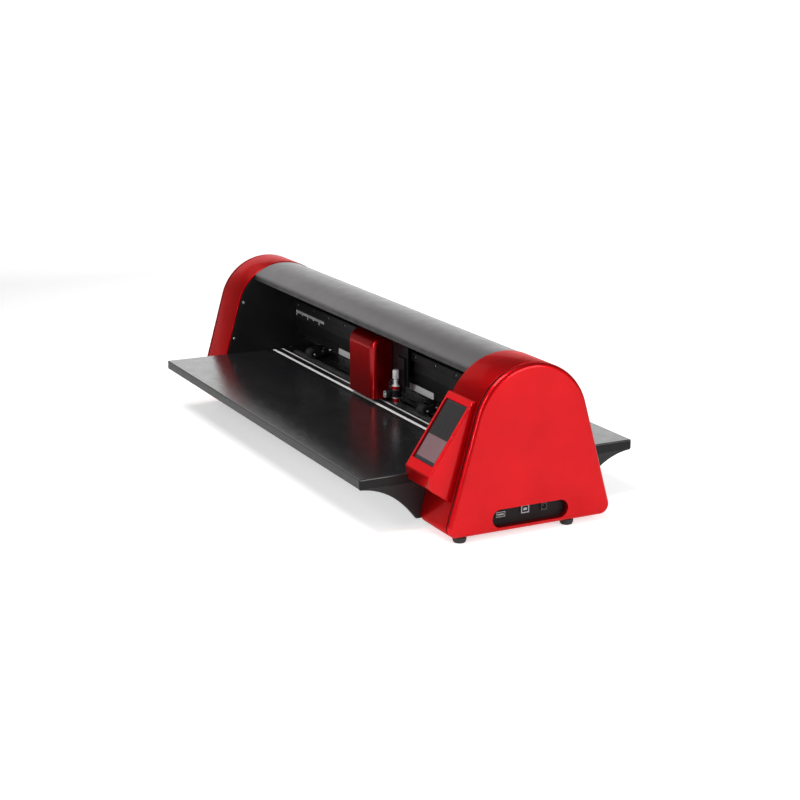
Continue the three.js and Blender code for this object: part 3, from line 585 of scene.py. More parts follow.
def make_floor():
    """A pale floor that curves up far behind the machine. Its emission is painted light fixed in the world
    like a lit sweep: brightest far behind the machine in the middle, and fading towards the left.
    """
    near, far, half_width, radius = -9, 7, 11, 3
    line = [(near, 0)] + [(far - radius + radius * sin(a), radius * (1 - cos(a))) for a in quarter(16)]
    bm = bmesh.new()
    rows = [[bm.verts.new((x, y, z)) for y, z in line] for x in (-half_width, half_width)]
    for i in range(len(line) - 1):
        bm.faces.new((rows[0][i], rows[1][i], rows[1][i + 1], rows[0][i + 1]))
    floor = link_mesh("floor", bm)
    tree = Tree("floor_paper")
    colour = tree.mixed(tree.noise(1.5, 3), (0.80, 0.80, 0.80), (0.84, 0.84, 0.84))
    tree.plug(colour, tree.shader, "Base Color")
    rightwards = (cos(VIEW_AZIMUTH), sin(VIEW_AZIMUTH), 0)
    backwards = (-sin(VIEW_AZIMUTH), cos(VIEW_AZIMUTH), 0)
    depth = tree.measured(backwards)
    aside = tree.measured(rightwards, absolute=True)
    spread = tree.maths("SUBTRACT", aside, tree.mapped(depth, 0, far, 0, 3.2))
    middle = tree.mapped(spread, 0.9, 1.7, 1, 0.1)
    far_glow = tree.maths("MULTIPLY", middle, tree.mapped(depth, 0.8, 3.0, 0, 1.35))
    near_glow = tree.mapped(tree.measured(rightwards), -1.6, 0.2, 0.05, 0.6)
    tree.plug(tree.maths("MAXIMUM", far_glow, near_glow), tree.shader, "Emission Strength")
    tree.set(Roughness=0.9, Specular_IOR_Level=0.1, Emission_Color=(1, 1, 1, 1))
    floor.data.materials.append(tree.material)
    floor.data.transform(Matrix.Rotation(VIEW_AZIMUTH, 4, "Z"))


# -------- fasteners


def cross_screw_mesh(radius, height):
    """A pan-head screw with a cross recess, standing on the origin along +Z."""
    profile = rounded(
        [(0, height), (radius * 0.72, height), (radius, height * 0.45), (radius, 0), (0, 0)],
        height * 0.5, 4, closed=False)
    head = turned("screw_head", "z", profile, (0, 0, 0), 32)
    slot, depth = radius * 0.13, height * 0.6
    bars = []
    for u, v in ((radius * 0.62, slot), (slot, radius * 0.62)):
        bm = bmesh.new()
        add_box(bm, -u, u, -v, v, height - depth, height + 1)
        bars.append(link_mesh("recess", bm))
    combine(head, *bars)
    return head


def screws(name, slot, places, radius, height, body="chassis"):
    """One piece holding every screw of a kind; each place is (point, outward direction)."""
    master = cross_screw_mesh(radius, height)
    bm = bmesh.new()
    for n, (point, outward) in enumerate(places):
        spin = Matrix.Rotation(0.7 * n + 0.3, 4, "Z")
        aim = Vector(outward).to_track_quat("Z", "X").to_matrix().to_4x4()
        move = Matrix.Translation(Vector(point) * MM) @ aim @ spin
        start = len(bm.verts)
        bm.from_mesh(master.data)
        bm.verts.ensure_lookup_table()
        bmesh.ops.transform(bm, matrix=move, verts=bm.verts[start:])
    bpy.data.objects.remove(master)
    obj = soften(link_mesh(name, bm), 0.08, 1, 40)
    return dress(obj, slot, body=body)


# -------- end housings


SEAM_HALF, SEAM_DEPTH = 1.9, 1.6          # groove between shell and end cap, with a gasket in it
GASKET_GAP, GASKET_HEIGHT = 0.05, 0.5
PORT_SLOT = (-1.7, 26.3, 111.8, 24)       # y and z of the middle, length, height


def box_near_far(node):
    """How near to and how far from the middle of the machine a node reaches."""
    low, high = box_mm(node)
    return min(abs(low.x), abs(high.x)), max(abs(low.x), abs(high.x))


def shell(side):
    sign = SIDES[side]
    inner, outer = box_near_far(f"{side}_shell")
    mouth, round_edge = 1.7, 0.5
    step = outer - SEAM_HALF
    stations = round_in(inner, mouth) + round_out(step, round_edge, 4)
    stations += [(step, SEAM_DEPTH), (outer, SEAM_DEPTH), (outer, SHELL_WALL), (inner, SHELL_WALL)]
    rings = [at_x(housing_outline(inset), sign * x) for x, inset in stations]
    # painted shade: the shell takes the darker copy of the red paint
    dress(loft(f"{side}_shell_fine", rings, join=True), "red_gloss", f"{side}_shell", look="red_shell_shaded")

    cap_step = box_near_far(f"{side}_end_cap")[0] + SEAM_HALF
    strip = rectangle(
        step + GASKET_GAP, cap_step - GASKET_GAP, SEAM_DEPTH - GASKET_HEIGHT, SEAM_DEPTH)
    rings = [at_x(housing_outline(inset), sign * x) for x, inset in strip]
    gasket = sharpened(loft(f"{side}_seam_gasket", rings, join=True))
    dress(gasket, "rubber", look="port_black")


def end_cap(side):
    sign = SIDES[side]
    inner, outer = box_near_far(f"{side}_end_cap")
    round_edge, rim = 0.5, 6.2
    step = inner + SEAM_HALF
    stations = [(inner, SEAM_DEPTH), (step, SEAM_DEPTH)]
    stations += round_in(step, round_edge, 4) + round_out(outer, rim, 8)
    rings = [at_x(housing_outline(inset), sign * x) for x, inset in stations]
    obj = loft(f"{side}_end_cap_fine", rings)
    if side == "right":
        combine(obj, prism("slot", "x", stadium(*PORT_SLOT), inner - 1, outer + 1))
    soften(obj, 0.7, 3, 50)
    dress(obj, "red_gloss", f"{side}_end_cap")


def build_housings():
    for side in SIDES:
        shell(side)
        end_cap(side)


# -------- tables and cover


def table(node):
    """A folded tray with round bends, open below."""
    low, high = box_mm(node)
    bend, sheet, corner, chamfer = 1.8, 1.5, 2.2, 0.3

    def outline(inset):
        edges = rectangle(low.x + inset, high.x - inset, low.y + inset, high.y - inset)
        return rounded(edges, max(corner - inset, 0.6), 5)

    rings = [at_z(outline(sheet), high.z - sheet), at_z(outline(sheet), low.z)]
    rings += [at_z(outline(chamfer), low.z), at_z(outline(0), low.z + chamfer)]
    rings += [at_z(outline(inset), z) for z, inset in round_out(high.z, bend)]
    obj = dress(flat_shaded(loft(f"{node}_fine", rings)), "table_black", node)
    # painted shade: the upright edge faces take the darker copy of the table's black
    second_finish(obj, "table_black_shaded", lambda normal: abs(normal.z) < 0.3)


def top_cover():
    low, high = box_mm("top_cover")
    sheet, drop, bulge = 2.2, 9, 0.6
    notch_side, notch_top = 8, 118
    lip_angle = radians(127)
    radius = ARCH_RADIUS - COVER_INSET
    outside = arc(0, ARCH_Z, radius, SLOPE, lip_angle, 72)
    inside = arc(0, ARCH_Z, radius - sheet, SLOPE, lip_angle, 72)[::-1]
    lip_y, lip_z = outside[-1]
    lip_y -= bulge
    front = rounded([
        outside[-1], (lip_y, lip_z - 1.5), (lip_y, lip_z - drop), (lip_y + sheet, lip_z - drop),
        (lip_y + sheet, lip_z - 3), inside[1],
    ], 0.9, 4, closed=False)
    section = [(slope_y(low.z, COVER_INSET), low.z), *outside[:-1], *front, *inside[2:],
               (slope_y(low.z, COVER_INSET + sheet), low.z)]
    obj = prism("top_cover_fine", "x", section, low.x, high.x)
    lever_low, lever_high = box_mm("release_lever")
    notch = rectangle(lever_low.x - notch_side, lever_high.x + notch_side, low.z - 20, notch_top)
    notch = rounded(notch, 2.5, 5)
    combine(obj, prism("notch", "y", notch, 0, 120))
    dress(soften(obj, 0.4, 2, 40), "cover_satin", "top_cover")
    # painted shade: a dark strip on the front of the cover's lip stands in for the shade there
    lip_shade = rounded(rectangle(lip_y - 0.25, lip_y + 0.2, lip_z - drop + 0.5, lip_z - 2.2), 0.2, 2)
    lip_shade = flat_shaded(prism("cover_lip_shade_strip", "x", lip_shade, low.x + 0.5, high.x - 0.5))
    dress(lip_shade, "dark_plastic")


# -------- plates and frame


def side_plates():
    """Inner plates, with the screws that hold the cover and the table on them."""
    spots = ((-70.7, 160), (-88.4, 101.5), (66, 150), (88.4, 101.5))
    for side, sign in SIDES.items():
        plain(f"{side}_side_plate", "black_panel", 0.35)
        places = [((sign * INNER_X, y, z), (-sign, 0, 0)) for y, z in spots]
        screws(f"{side}_plate_screws", "steel", places, 2.4, 1.5)


def bezier(a, b, c, d, steps):
    a, b, c, d = (Vector(p) for p in (a, b, c, d))
    points = []
    for i in range(steps + 1):
        t = i / steps
        point = a * (1 - t) ** 3 + b * 3 * t * (1 - t) ** 2 + c * 3 * t * t * (1 - t) + d * t ** 3
        points.append(tuple(point))
    return points


def wing_plates():
    """Table carriers with concave lower edges."""
    for side in SIDES:
        low, high = box_mm(f"{side}_wing_plate")
        tip, heel = high.y, 124
        front = bezier((-tip, 63), (-tip + 31.5, 61), (-heel - 22, low.z + 30), (-heel, low.z), 28)
        rear = [(-y, z) for y, z in reversed(front)]
        outline = [*front, *rear, (tip, high.z), (-tip, high.z)]
        obj = prism(f"{side}_wing_plate_fine", "x", outline, low.x, high.x)
        dress(soften(obj, 0.5, 2, 30), "black_panel", f"{side}_wing_plate")


def feet():
    """Rubber feet with a waist and a screw in a recess."""
    recess = 2.2
    for end in ("front", "rear"):
        for side in SIDES:
            node = f"{end}_{side}_foot"
            low, high = box_mm(node)
            radius = (high.x - low.x) / 2
            x, y, _ = middle_mm(node)
            profile = rounded([
                (0, recess), (3.4, recess), (3.4, low.z), (radius - 1.6, low.z), (radius - 0.4, 2.4),
                (radius, 4.2), (radius, high.z), (0, high.z),
            ], 0.7, 4, closed=False)
            dress(flat_shaded(turned(f"{node}_fine", "z", profile, (x, y, 0), 56)), "rubber", node)
            screws(f"{node}_screw", "steel", [((x, y, recess), (0, 0, -1))], 2.6, 1.4)


def base_frame():
    plain("base_frame", "black_metal", 0.6)
    under = box_mm("base_frame")[0].z
    places = [((x, y, under), (0, 0, -1)) for x in (-338, -150, 150, 338) for y in (-86, 86)]
    for sign in SIDES.values():
        places += [((sign * x, y, SHELL_LOW.z), (0, 0, -1)) for x in (372, 420) for y in (-60, 30)]
    screws("underside_screws", "steel", places, 3.2, 1.8)


def cover_screws():
    """Screws along the rear edge of the top cover."""
    z = box_mm("top_cover")[0].z + 6
    outward = (0, cos(SLOPE), sin(SLOPE))
    places = [((x, slope_y(z, COVER_INSET), z), outward) for x in (-345, -172, 0, 172, 345)]
    screws("cover_screws", "black_metal", places, 2.8, 0.9)


def platen():
    plain("platen", "black_metal", 0.3, look="table_black_shaded")
    plain("platen_trim_strip", "bright_metal", 0.25, look="white_strip")
    plain("cutting_strip", "pale_strip", 0.12, look="white_strip")


def beam():
    """Beam with a lighter band, ruler ticks and end screws."""
    plain("beam", "black_metal", 0.9)
    front = box_mm("beam")[0].y
    band = rounded(rectangle(-356, 356, 129, 145.5), 1.2, 3)
    plate = soften(prism("beam_band", "y", band, front - 0.35, front + 0.2), 0.15)
    dress(plate, "black_metal", look="grey_band")

    bm = bmesh.new()
    ruler_start, ruler_top, pitch, count, half_tick = -353, 141, 4.5, 25, 0.9
    for i in range(count):
        x = ruler_start + pitch * i
        tall = 9 if i % 10 == 0 else 6.5 if i % 5 == 0 else 4.5
        add_box(bm, x - half_tick, x + half_tick, front - 0.5, front - 0.3, ruler_top - tall, ruler_top)
    ticks = link_mesh("beam_ruler_ticks", bm, smooth=False)
    dress(ticks, "pale_strip", look="white_strip")
    places = [((sign * 354.5, front, z), (0, -1, 0)) for sign in SIDES.values() for z in (136, 162)]
    screws("beam_screws", "steel", places, 1.9, 1.0)


def guide_rail():
    """Hardened rail with counterbored screws along its face."""
    front = box_mm("guide_rail")[0].y
    middle = middle_mm("guide_rail")[2]
    seat, bore = front + 2.6, 3
    obj = bake(refined("guide_rail", 0.25))
    spots = [-330 + 60 * i for i in range(12)]
    bm = bmesh.new()
    for x in spots:
        profile = [(0, front - 1), (bore, front - 1), (bore, seat), (0, seat)]
        add_turned(bm, "y", profile, (x, 0, middle), 24)
    combine(obj, link_mesh("counterbores", bm))
    dress(soften(obj, 0.15, 1, 50), "black_metal", "guide_rail")
    places = [((x, seat, middle), (0, -1, 0)) for x in spots]
    screws("rail_screws", "steel", places, 2.6, 1.9)


def pinch_bar():
    plain("pinch_bar", "black_metal", 0.7)
    for side in SIDES:
        node = f"{side}_scale_plate"
        low, high = box_mm(node)
        outline = rounded(rectangle(low.x, high.x, low.z, high.z), 1.2, 4)
        plate = prism(f"{node}_fine", "y", outline, low.y, high.y)
        dress(soften(plate, 0.15), "bright_metal", node, look="silver_plate")
        bm = bmesh.new()
        count, margin, foot, half_tick = 13, 5, low.z + 0.9, 0.22
        for i in range(count):
            x = low.x + margin + (high.x - low.x - 2 * margin) * i / (count - 1)
            tall = 4.2 if i % 6 == 0 else 2.6
            add_box(bm, x - half_tick, x + half_tick, low.y - 0.06, low.y + 0.1, foot, foot + tall)
        dress(link_mesh(f"{node}_ticks", bm, smooth=False), "dark_plastic")


def shafts():
    """Pivot shaft with retaining clips, and the flatted release shaft with its lever."""
    low, high = box_mm("pinch_pivot_shaft")
    _, y, z = middle_mm("pinch_pivot_shaft")
    radius = (high.y - low.y) / 2
    profile = rounded(rectangle(0, radius, low.x, high.x), 0.5, 3, closed=False)
    shaft = flat_shaded(turned("pinch_pivot_shaft_fine", "x", profile, (0, y, z), 40))
    dress(shaft, "steel", "pinch_pivot_shaft")
    bm = bmesh.new()
    for side in SIDES:
        arm_low, arm_high = box_mm(f"{side}_pinch_arm")
        for x in (arm_low.x - 1.4, arm_high.x + 9):
            ring = rectangle(radius - 0.4, radius + 2, x, x + 0.8)
            add_turned(bm, "x", ring + ring[:1], (0, y, z), 32)
    dress(soften(link_mesh("pivot_clips", bm), 0.12, 1), "black_metal")
    plain("release_shaft", "steel", 0.2, angle=40)
    plain("release_lever", "dark_plastic", 0.9, 3)


# -------- drives


def toothed(teeth, depth, first, last):
    """A groove function that cuts teeth into the profile points first..last."""
    def groove(i, angle):
        phase = (angle * teeth / (2 * pi)) % 1
        return depth if first <= i <= last and phase >= 0.5 else 0
    return groove


def drum():
    """Drum with raised grit bands, and its bearings and toothed pulley."""
    low, high = box_mm("grit_drum")
    _, y, z = middle_mm("grit_drum")
    radius, journal, body = (high.y - low.y) / 2, 4, 336
    profile = [(0, low.x), (journal - 0.5, low.x), (journal, low.x + 0.5), (journal, -body - 1)]
    profile += [(radius - 0.5, -body)]
    bands, gap, step = 12, 6, 0.4
    width = 2 * body / bands
    for i in range(bands):
        start = -body + i * width + gap
        end = start + width - 2 * gap
        profile += [(radius - step, start - step), (radius, start)]
        profile += [(radius, end), (radius - step, end + step)]
    profile += [(radius - 0.5, body), (journal, body + 1)]
    profile += [(journal, high.x - 0.5), (journal - 0.5, high.x), (0, high.x)]
    surface = flat_shaded(turned("grit_drum_fine", "x", profile, (0, y, z), 72))
    dress(surface, "grey_metal", "grit_drum", look="grit")
    for side in SIDES:
        bearing(f"{side}_drum_bearing", y, z)
    pulley("drum_pulley", "x", (0, y, z), bore=journal + 0.3, radius=16, teeth=50)


def bearing(node, y, z):
    """A ball bearing with its shield set back between the rings."""
    low, high = box_mm(node)
    outer, bore, dip = (high.y - low.y) / 2, 4.3, 0.45
    face = [(bore, 0), (bore + 1.3, 0), (bore + 1.3, dip), (outer - 1.4, dip), (outer - 1.4, 0), (outer, 0)]
    profile = [(r, low.x + d) for r, d in face] + [(r, high.x - d) for r, d in reversed(face)]
    obj = turned(f"{node}_fine", "x", profile + profile[:1], (0, y, z), 56)
    dress(soften(obj, 0.12, 1, 40), "steel", node)


def pulley(node, axis, centre, bore, radius, teeth):
    """A toothed pulley between flanges."""
    low, high = box_mm(node)
    index = "xyz".index(axis)
    start, end = low[index], high[index]
    rim, flange = radius + 2, 1.0
    profile = [
        (bore, start), (rim - 0.3, start), (rim, start + 0.3), (rim, start + flange - 0.2),
        (radius + 0.1, start + flange), (radius, start + flange + 0.05), (radius, end - flange - 0.05),
        (radius + 0.1, end - flange), (rim, end - flange + 0.2), (rim, end - 0.3), (rim - 0.3, end),
        (bore, end),
    ]
    obj = turned(f"{node}_fine", axis, profile + profile[:1], centre, teeth * 4, toothed(teeth, 0.7, 5, 6))
    dress(sharpened(obj), "steel", node)


def belt(node, axis, wheels, start, end, pitch):
    """A toothed belt round two wheels (u, v, inner radius) in the plane across its axis."""
    (au, av, ar), (bu, bv, br) = wheels
    angle = atan2(bv - av, bu - au)
    spread = acos((ar - br) / hypot(bu - au, bv - av))
    thickness, depth = 1.4, 0.65

    def loop(extra):
        return arc(au, av, ar + extra, angle + spread, angle - spread + 2 * pi, 48) + arc(
            bu, bv, br + extra, angle - spread, angle + spread, 48)

    outer = resampled(loop(thickness), pitch / 4)
    inner = resampled(loop(0), pitch / 4, len(outer))
    root = resampled(loop(depth), pitch / 4, len(outer))
    teeth = [inner[i] if i % 4 < 2 else root[i] for i in range(len(outer))]
    plane = PLANES[axis]
    rings = [plane(outer, start), plane(outer, end), plane(teeth, end), plane(teeth, start)]
    dress(sharpened(loft(f"{node}_fine", rings, join=True)), "rubber", node)


def resampled(points, step, count=None):
    """Evenly spaced points on a closed line."""
    points = [Vector(p) for p in points]
    spans = [(q - p).length for p, q in zip(points, points[1:] + points[:1])]
    total = sum(spans)
    count = count or 4 * round(total / step / 4)
    out, i, walked = [], 0, 0.0
    for k in range(count):
        at = total * k / count
        while walked + spans[i] < at:
            walked += spans[i]
            i += 1
        t = (at - walked) / max(spans[i], 1e-9)
        out.append(tuple(points[i].lerp(points[(i + 1) % len(points)], t)))
    return out


def motor(node, axis):
    """A stepper motor: two end bells with a stack of laminations between them."""
    low, high = box_mm(node)
    index = "xyz".index(axis)
    first, second = (i for i in range(3) if i != index)
    half = (high[first] - low[first]) / 2
    start, end = low[index], high[index]
    centre = (low + high) / 2
    u0, v0 = centre[first], centre[second]

    def octagon(size):
        cut = size - 4
        pairs = [(-cut, -size), (cut, -size), (size, -cut), (size, cut), (cut, size), (-cut, size),
                 (-size, cut), (-size, -cut)]
        return rounded([(u0 + u, v0 + v) for u, v in pairs], 1, 3)

    bell = (end - start) * 0.22
    bm = bmesh.new()
    for a, b in ((start, start + bell), (end - bell, end)):
        add_prism(bm, axis, octagon(half), a, b)
    dress(soften(link_mesh(f"{node}_bells", bm), 0.6), "black_metal", node, look="grey_metal")
    bm = bmesh.new()
    sheets, groove = 14, 0.08
    pitch = (end - start - 2 * bell) / sheets
    for i in range(sheets):
        a = start + bell + pitch * i
        add_prism(bm, axis, octagon(half - 0.4), a + groove, a + pitch - groove)
    dress(soften(link_mesh(f"{node}_laminations", bm), 0.12, 1), "black_metal")


MOTOR_HOLE = 15.5      # from a motor's axis to its screws, each way


def bracket(node, screw_places, outward):
    plain(node, "steel", 0.4)
    places = [(point, outward) for point in screw_places]
    screws(f"{node}_screws", "black_metal", places, 2.6, 1.6)


def four_corners(u, v):
    """The places of a motor's screws round its axis."""
    return [(u + du, v + dv) for du in (-MOTOR_HOLE, MOTOR_HOLE) for dv in (-MOTOR_HOLE, MOTOR_HOLE)]


def drum_drive():
    _, y, z = middle_mm("drum_motor")
    motor("drum_motor", "x")
    plate = box_mm("drum_motor_bracket")[1].x - 2.5
    bracket("drum_motor_bracket", at_x(four_corners(y, z), plate), (-1, 0, 0))

    drum_low, drum_high = box_mm("drum_pulley")
    _, drum_y, drum_z = middle_mm("drum_pulley")
    x0, x1 = drum_low.x - 1, drum_high.x
    radius, rim = 8, 10
    end = box_mm("drum_motor_pulley")[1].x
    profile = [
        (0, x0), (rim - 0.3, x0), (rim, x0 + 0.3), (rim, x0 + 0.8), (radius, x0 + 1), (radius, x1 - 1),
        (rim, x1 - 0.8), (rim, x1 - 0.3), (rim - 0.3, x1), (5, x1), (4.6, x1 + 0.4), (4.6, x1 + 3),
        (2.5, x1 + 3.2), (2.5, end), (0, end),
    ]
    obj = turned("drum_motor_pulley_fine", "x", profile, (0, y, z), 100, toothed(25, 0.7, 4, 5))
    dress(sharpened(obj), "steel", "drum_motor_pulley")
    wheels = [(drum_y, drum_z, 16.3), (y, z, 8.3)]
    belt("drum_belt", "x", wheels, drum_low.x + 1.5, drum_high.x - 1.5, 2.03)


def carriage_drive():
    x, _, z = middle_mm("carriage_motor")
    motor("carriage_motor", "y")
    plate = box_mm("carriage_motor_bracket")[1].y
    bracket("carriage_motor_bracket", at_y(four_corners(x, z), plate), (0, 1, 0))

    low, high = box_mm("carriage_drive_pulley")
    radius, rim = 7, 9
    y0, y1 = high.y - 8, high.y
    profile = [
        (0, low.y), (2.5, low.y), (2.5, y0), (rim - 0.3, y0), (rim, y0 + 0.2), (rim, y0 + 0.5),
        (radius, y0 + 0.7), (radius, y1 - 0.7), (rim, y1 - 0.5), (rim, y1 - 0.2), (rim - 0.3, y1),
        (2.5, y1), (2.2, y1 - 0.6), (0, y1 - 0.6),
    ]
    obj = turned("carriage_drive_pulley_fine", "y", profile, (x, 0, z), 88, toothed(22, 0.6, 6, 7))
    dress(sharpened(obj), "steel", "carriage_drive_pulley")

    low, high = box_mm("idler_pulley")
    idler_x, _, idler_z = middle_mm("idler_pulley")
    profile = [
        (2.8, low.y), (4.4, low.y), (4.6, low.y + 0.4), (rim - 0.6, low.y + 0.4), (rim - 0.3, low.y),
        (rim, low.y + 0.3), (rim, low.y + 0.8), (radius, low.y + 1), (radius, high.y - 1),
        (rim, high.y - 0.8), (rim, high.y - 0.3), (rim - 0.3, high.y), (2.8, high.y),
    ]
    obj = turned("idler_pulley_fine", "y", profile + profile[:1], (idler_x, 0, idler_z), 72)
    dress(sharpened(obj), "steel", "idler_pulley")
    plate = box_mm("beam")[1].z + 3
    bracket("idler_bracket", [(idler_x + dx, 45, plate) for dx in (-9, 9)], (0, 0, 1))
    screws("idler_axle_screw", "black_metal", [((idler_x, 36, idler_z), (0, 1, 0))], 3.4, 2)
    belt("carriage_belt", "y", [(idler_x, idler_z, 7.3), (x, z, 7.3)], *BELT_Y, 2.5)


# -------- carriage and tool


def carriage():
    low, high = box_mm("carriage_cover")
    wall, corner, edge = 2.5, 18, 9
    front, back, bottom, top = low.y, high.y, low.z, high.z
    notch_y, notch_z = -0.5, 110
    spare = 12

    def outline(inset):
        return [(front + inset, bottom - spare), (back + spare, bottom - spare), (back + spare, top - inset),
                *arc(front + corner, top - corner, corner - inset, pi / 2, pi, 24)]

    def rounded_body(name, depth):
        """The cover's shape with every face moved inwards by depth."""
        bend = edge - depth
        rounds = round_in(low.x + depth, bend, 8) + round_out(high.x - depth, bend, 8)
        return loft(name, [at_x(outline(depth + inset), x) for x, inset in rounds])

    cover = rounded_body("carriage_cover_fine", 0)
    keep = prism("keep", "x", [
        (front - 5, bottom), (notch_y, bottom), (notch_y, notch_z), (back, notch_z), (back, top + 5),
        (front - 5, top + 5),
    ], low.x - 5, high.x + 5)
    combine(cover, keep, operation="INTERSECT")
    combine(cover, rounded_body("hollow", wall))
    # painted shade: the carriage cover takes the darker copy of the red paint
    dress(soften(cover, 0.4, 2, 50), "red_gloss", "carriage_cover", look="red_carriage_shaded")

    plain("carriage_plate", "black_metal", 0.6)
    spots = [(58, 166), (72, 166), (40, 168), (40, 140), (40, 114), (72, 156)]
    places = [((x, 6, z), (0, -1, 0)) for x, z in spots]
    screws("carriage_plate_screws", "black_metal", places, 2.2, 1.4, body="carriage")
    plain("bearing_block", "grey_metal", 0.4)
    places = [((x, 20.5, z), (0, 1, 0)) for x in (-20, 20) for z in (145.4, 162.7)]
    screws("bearing_block_screws", "black_metal", places, 1.7, 0.3, body="carriage")


def tool():
    """Tool slide, blade holder with coloured rings, and the clamp knob."""
    plain("tool_slide", "black_metal", 0.45)
    x, y, _ = middle_mm("blade_holder")
    tip = box_mm("blade_holder")[0].z
    body = [
        (0, tip), (0.4, tip), (0.6, tip + 2.2), (2.2, tip + 2.6), (3.2, tip + 4), (4.2, tip + 4.8),
        (4.2, tip + 10.4), (5.5, tip + 11.4), (5.5, tip + 24.2), (6.2, tip + 24.4), (6.2, tip + 28.8),
        (5.0, tip + 29.4), (3.3, tip + 32), (3.3, tip + 36), (3.0, tip + 36.3), (3.3, tip + 36.6),
        (3.3, tip + 39), (4.7, tip + 40), (4.7, tip + 52), (3.9, tip + 53), (0, tip + 53),
    ]
    knurl = toothed(36, 0.22, 17, 18)
    obj = turned("blade_holder_fine", "z", body, (x, y, 0), 144, knurl)
    dress(sharpened(obj, 25), "bright_metal", "blade_holder")
    bm = bmesh.new()
    for radius, start, end in ((4.6, tip + 4.7, tip + 10.2), (6.6, tip + 24.3, tip + 28.9)):
        ring = rounded(rectangle(radius - 1, radius, start, end), 0.4, 3)
        add_turned(bm, "z", ring + ring[:1], (x, y, 0), 64)
    dress(flat_shaded(link_mesh("blade_holder_rings", bm)), "red_gloss", body="tool")

    low, high = box_mm("clamp_knob")
    x, _, z = middle_mm("clamp_knob")
    radius = (high.x - low.x) / 2
    front = low.y
    profile = [
        (0, front + 0.6), (radius - 1.6, front + 0.6), (radius - 1.6, front + 0.2),
        (radius - 0.6, front + 0.2), (radius, front + 0.9), (radius, front + 6.2), (radius - 0.7, front + 7),
        (2, front + 7), (2, high.y), (0, high.y),
    ]
    knob = turned("clamp_knob_fine", "y", profile, (x, 0, z), 144, toothed(24, 0.45, 4, 5))
    dress(sharpened(knob, 25), "dark_plastic", "clamp_knob")
    ring = rectangle(radius - 1.7, radius - 0.8, front, front + 0.4)
    rim = turned("clamp_knob_rim", "y", ring + ring[:1], (x, 0, z), 64)
    dress(soften(rim, 0.12, 1), "bright_metal", body=BODY_OF["clamp_knob"])
    place = ((x, front + 0.6, z), (0, -1, 0))
    screws("clamp_knob_screw", "bright_metal", [place], 1.8, 0.5, BODY_OF["clamp_knob"])


def pinch_assemblies():
    """Arms with their tyres, axles and wound springs, alike on both sides."""
    _, pivot_y, pivot_z = middle_mm("pinch_pivot_shaft")
    for side in SIDES:
        arm_node, roller_node, spring_node = (
            f"{side}_pinch_{kind}" for kind in ("arm", "roller", "spring"))
        low, high = box_mm(arm_node)
        middle = (low.x + high.x) / 2
        body = BODY_OF[arm_node]
        plain(arm_node, "black_metal", 0.7, 3)
        places = [((x, 26, 89), (sign, 0, 0)) for sign, x in ((-1, low.x), (1, high.x))]
        screws(f"{side}_pinch_arm_screws", "steel", places, 1.8, 0.5, body)

        low, high = box_mm(roller_node)
        _, y, z = middle_mm(roller_node)
        radius, half = (high.y - low.y) / 2, 8.5
        profile = [(1.6, -half), (radius - 0.9, -half), (radius - 0.25, -half + 0.3), (radius, -half + 1)]
        for i in range(5):
            x = -half + 3.2 + i * 2.55
            profile += [(radius, x), (radius - 0.5, x + 0.2), (radius - 0.5, x + 0.9), (radius, x + 1.1)]
        profile += [(radius, half - 1), (radius - 0.25, half - 0.3), (radius - 0.9, half), (1.6, half)]
        tyre = turned(f"{roller_node}_tyre", "x", profile + profile[:1], (middle, y, z), 64)
        dress(soften(tyre, 0.1, 1, 40), "rubber", roller_node)
        axle_end = (high.x - low.x) / 2
        axle = rounded(rectangle(0, 1.5, -axle_end, axle_end), 0.4, 3, closed=False)
        pin = turned(f"{roller_node}_axle", "x", axle, (middle, y, z), 32)
        dress(flat_shaded(pin), "bright_metal", body=BODY_OF[roller_node])

        coil, wire, pitch, turns, steps, leg = 4.3, 0.52, 1.6, 4, 28, 13.8
        start = Vector((middle + 13.2, pivot_y, pivot_z))
        path = [start + Vector((0, -leg * (1 - i / 6), coil)) for i in range(6)]
        for i in range(turns * steps + 1):
            t = i / steps
            path.append(start + Vector((t * pitch, coil * sin(2 * pi * t), coil * cos(2 * pi * t))))
        bm = bmesh.new()
        add_tube(bm, path, wire, 12)
        dress(link_mesh(f"{spring_node}_fine", bm), "steel", spring_node)


# -------- screen pod

POD_TOP, POD_CHIN = (-79, 179.8), (-141, 88.5)
POD_LIP, POD_UNDER = (-137.5, 71.3), (-110.5, 52)
POD_OUTLINE = [POD_TOP, POD_CHIN, POD_LIP, POD_UNDER, (-60, 16), (-60, POD_TOP[1] - 3)]
POD_WALL = 3
SCREEN_WIDTH, SCREEN_HEIGHT, SCREEN_FOOT = 54.6, 86, 14.6
FACE_TILT = atan2(POD_TOP[0] - POD_CHIN[0], POD_TOP[1] - POD_CHIN[1])


def on_face(obj):
    """Moves a shape drawn as (across, up the face, outwards) on to the pod's sloping face."""
    turn = Matrix.Rotation(pi / 2 - FACE_TILT, 4, "X")
    place = Matrix.Translation(Vector((middle_mm("pod_housing")[0], *POD_CHIN)) * MM)
    obj.data.transform(place @ turn)
    return obj


def face_outline(margin, corner):
    half = SCREEN_WIDTH / 2 - margin
    edges = rectangle(-half, half, SCREEN_FOOT + margin, SCREEN_FOOT + SCREEN_HEIGHT - margin)
    return rounded(edges, corner, 6)


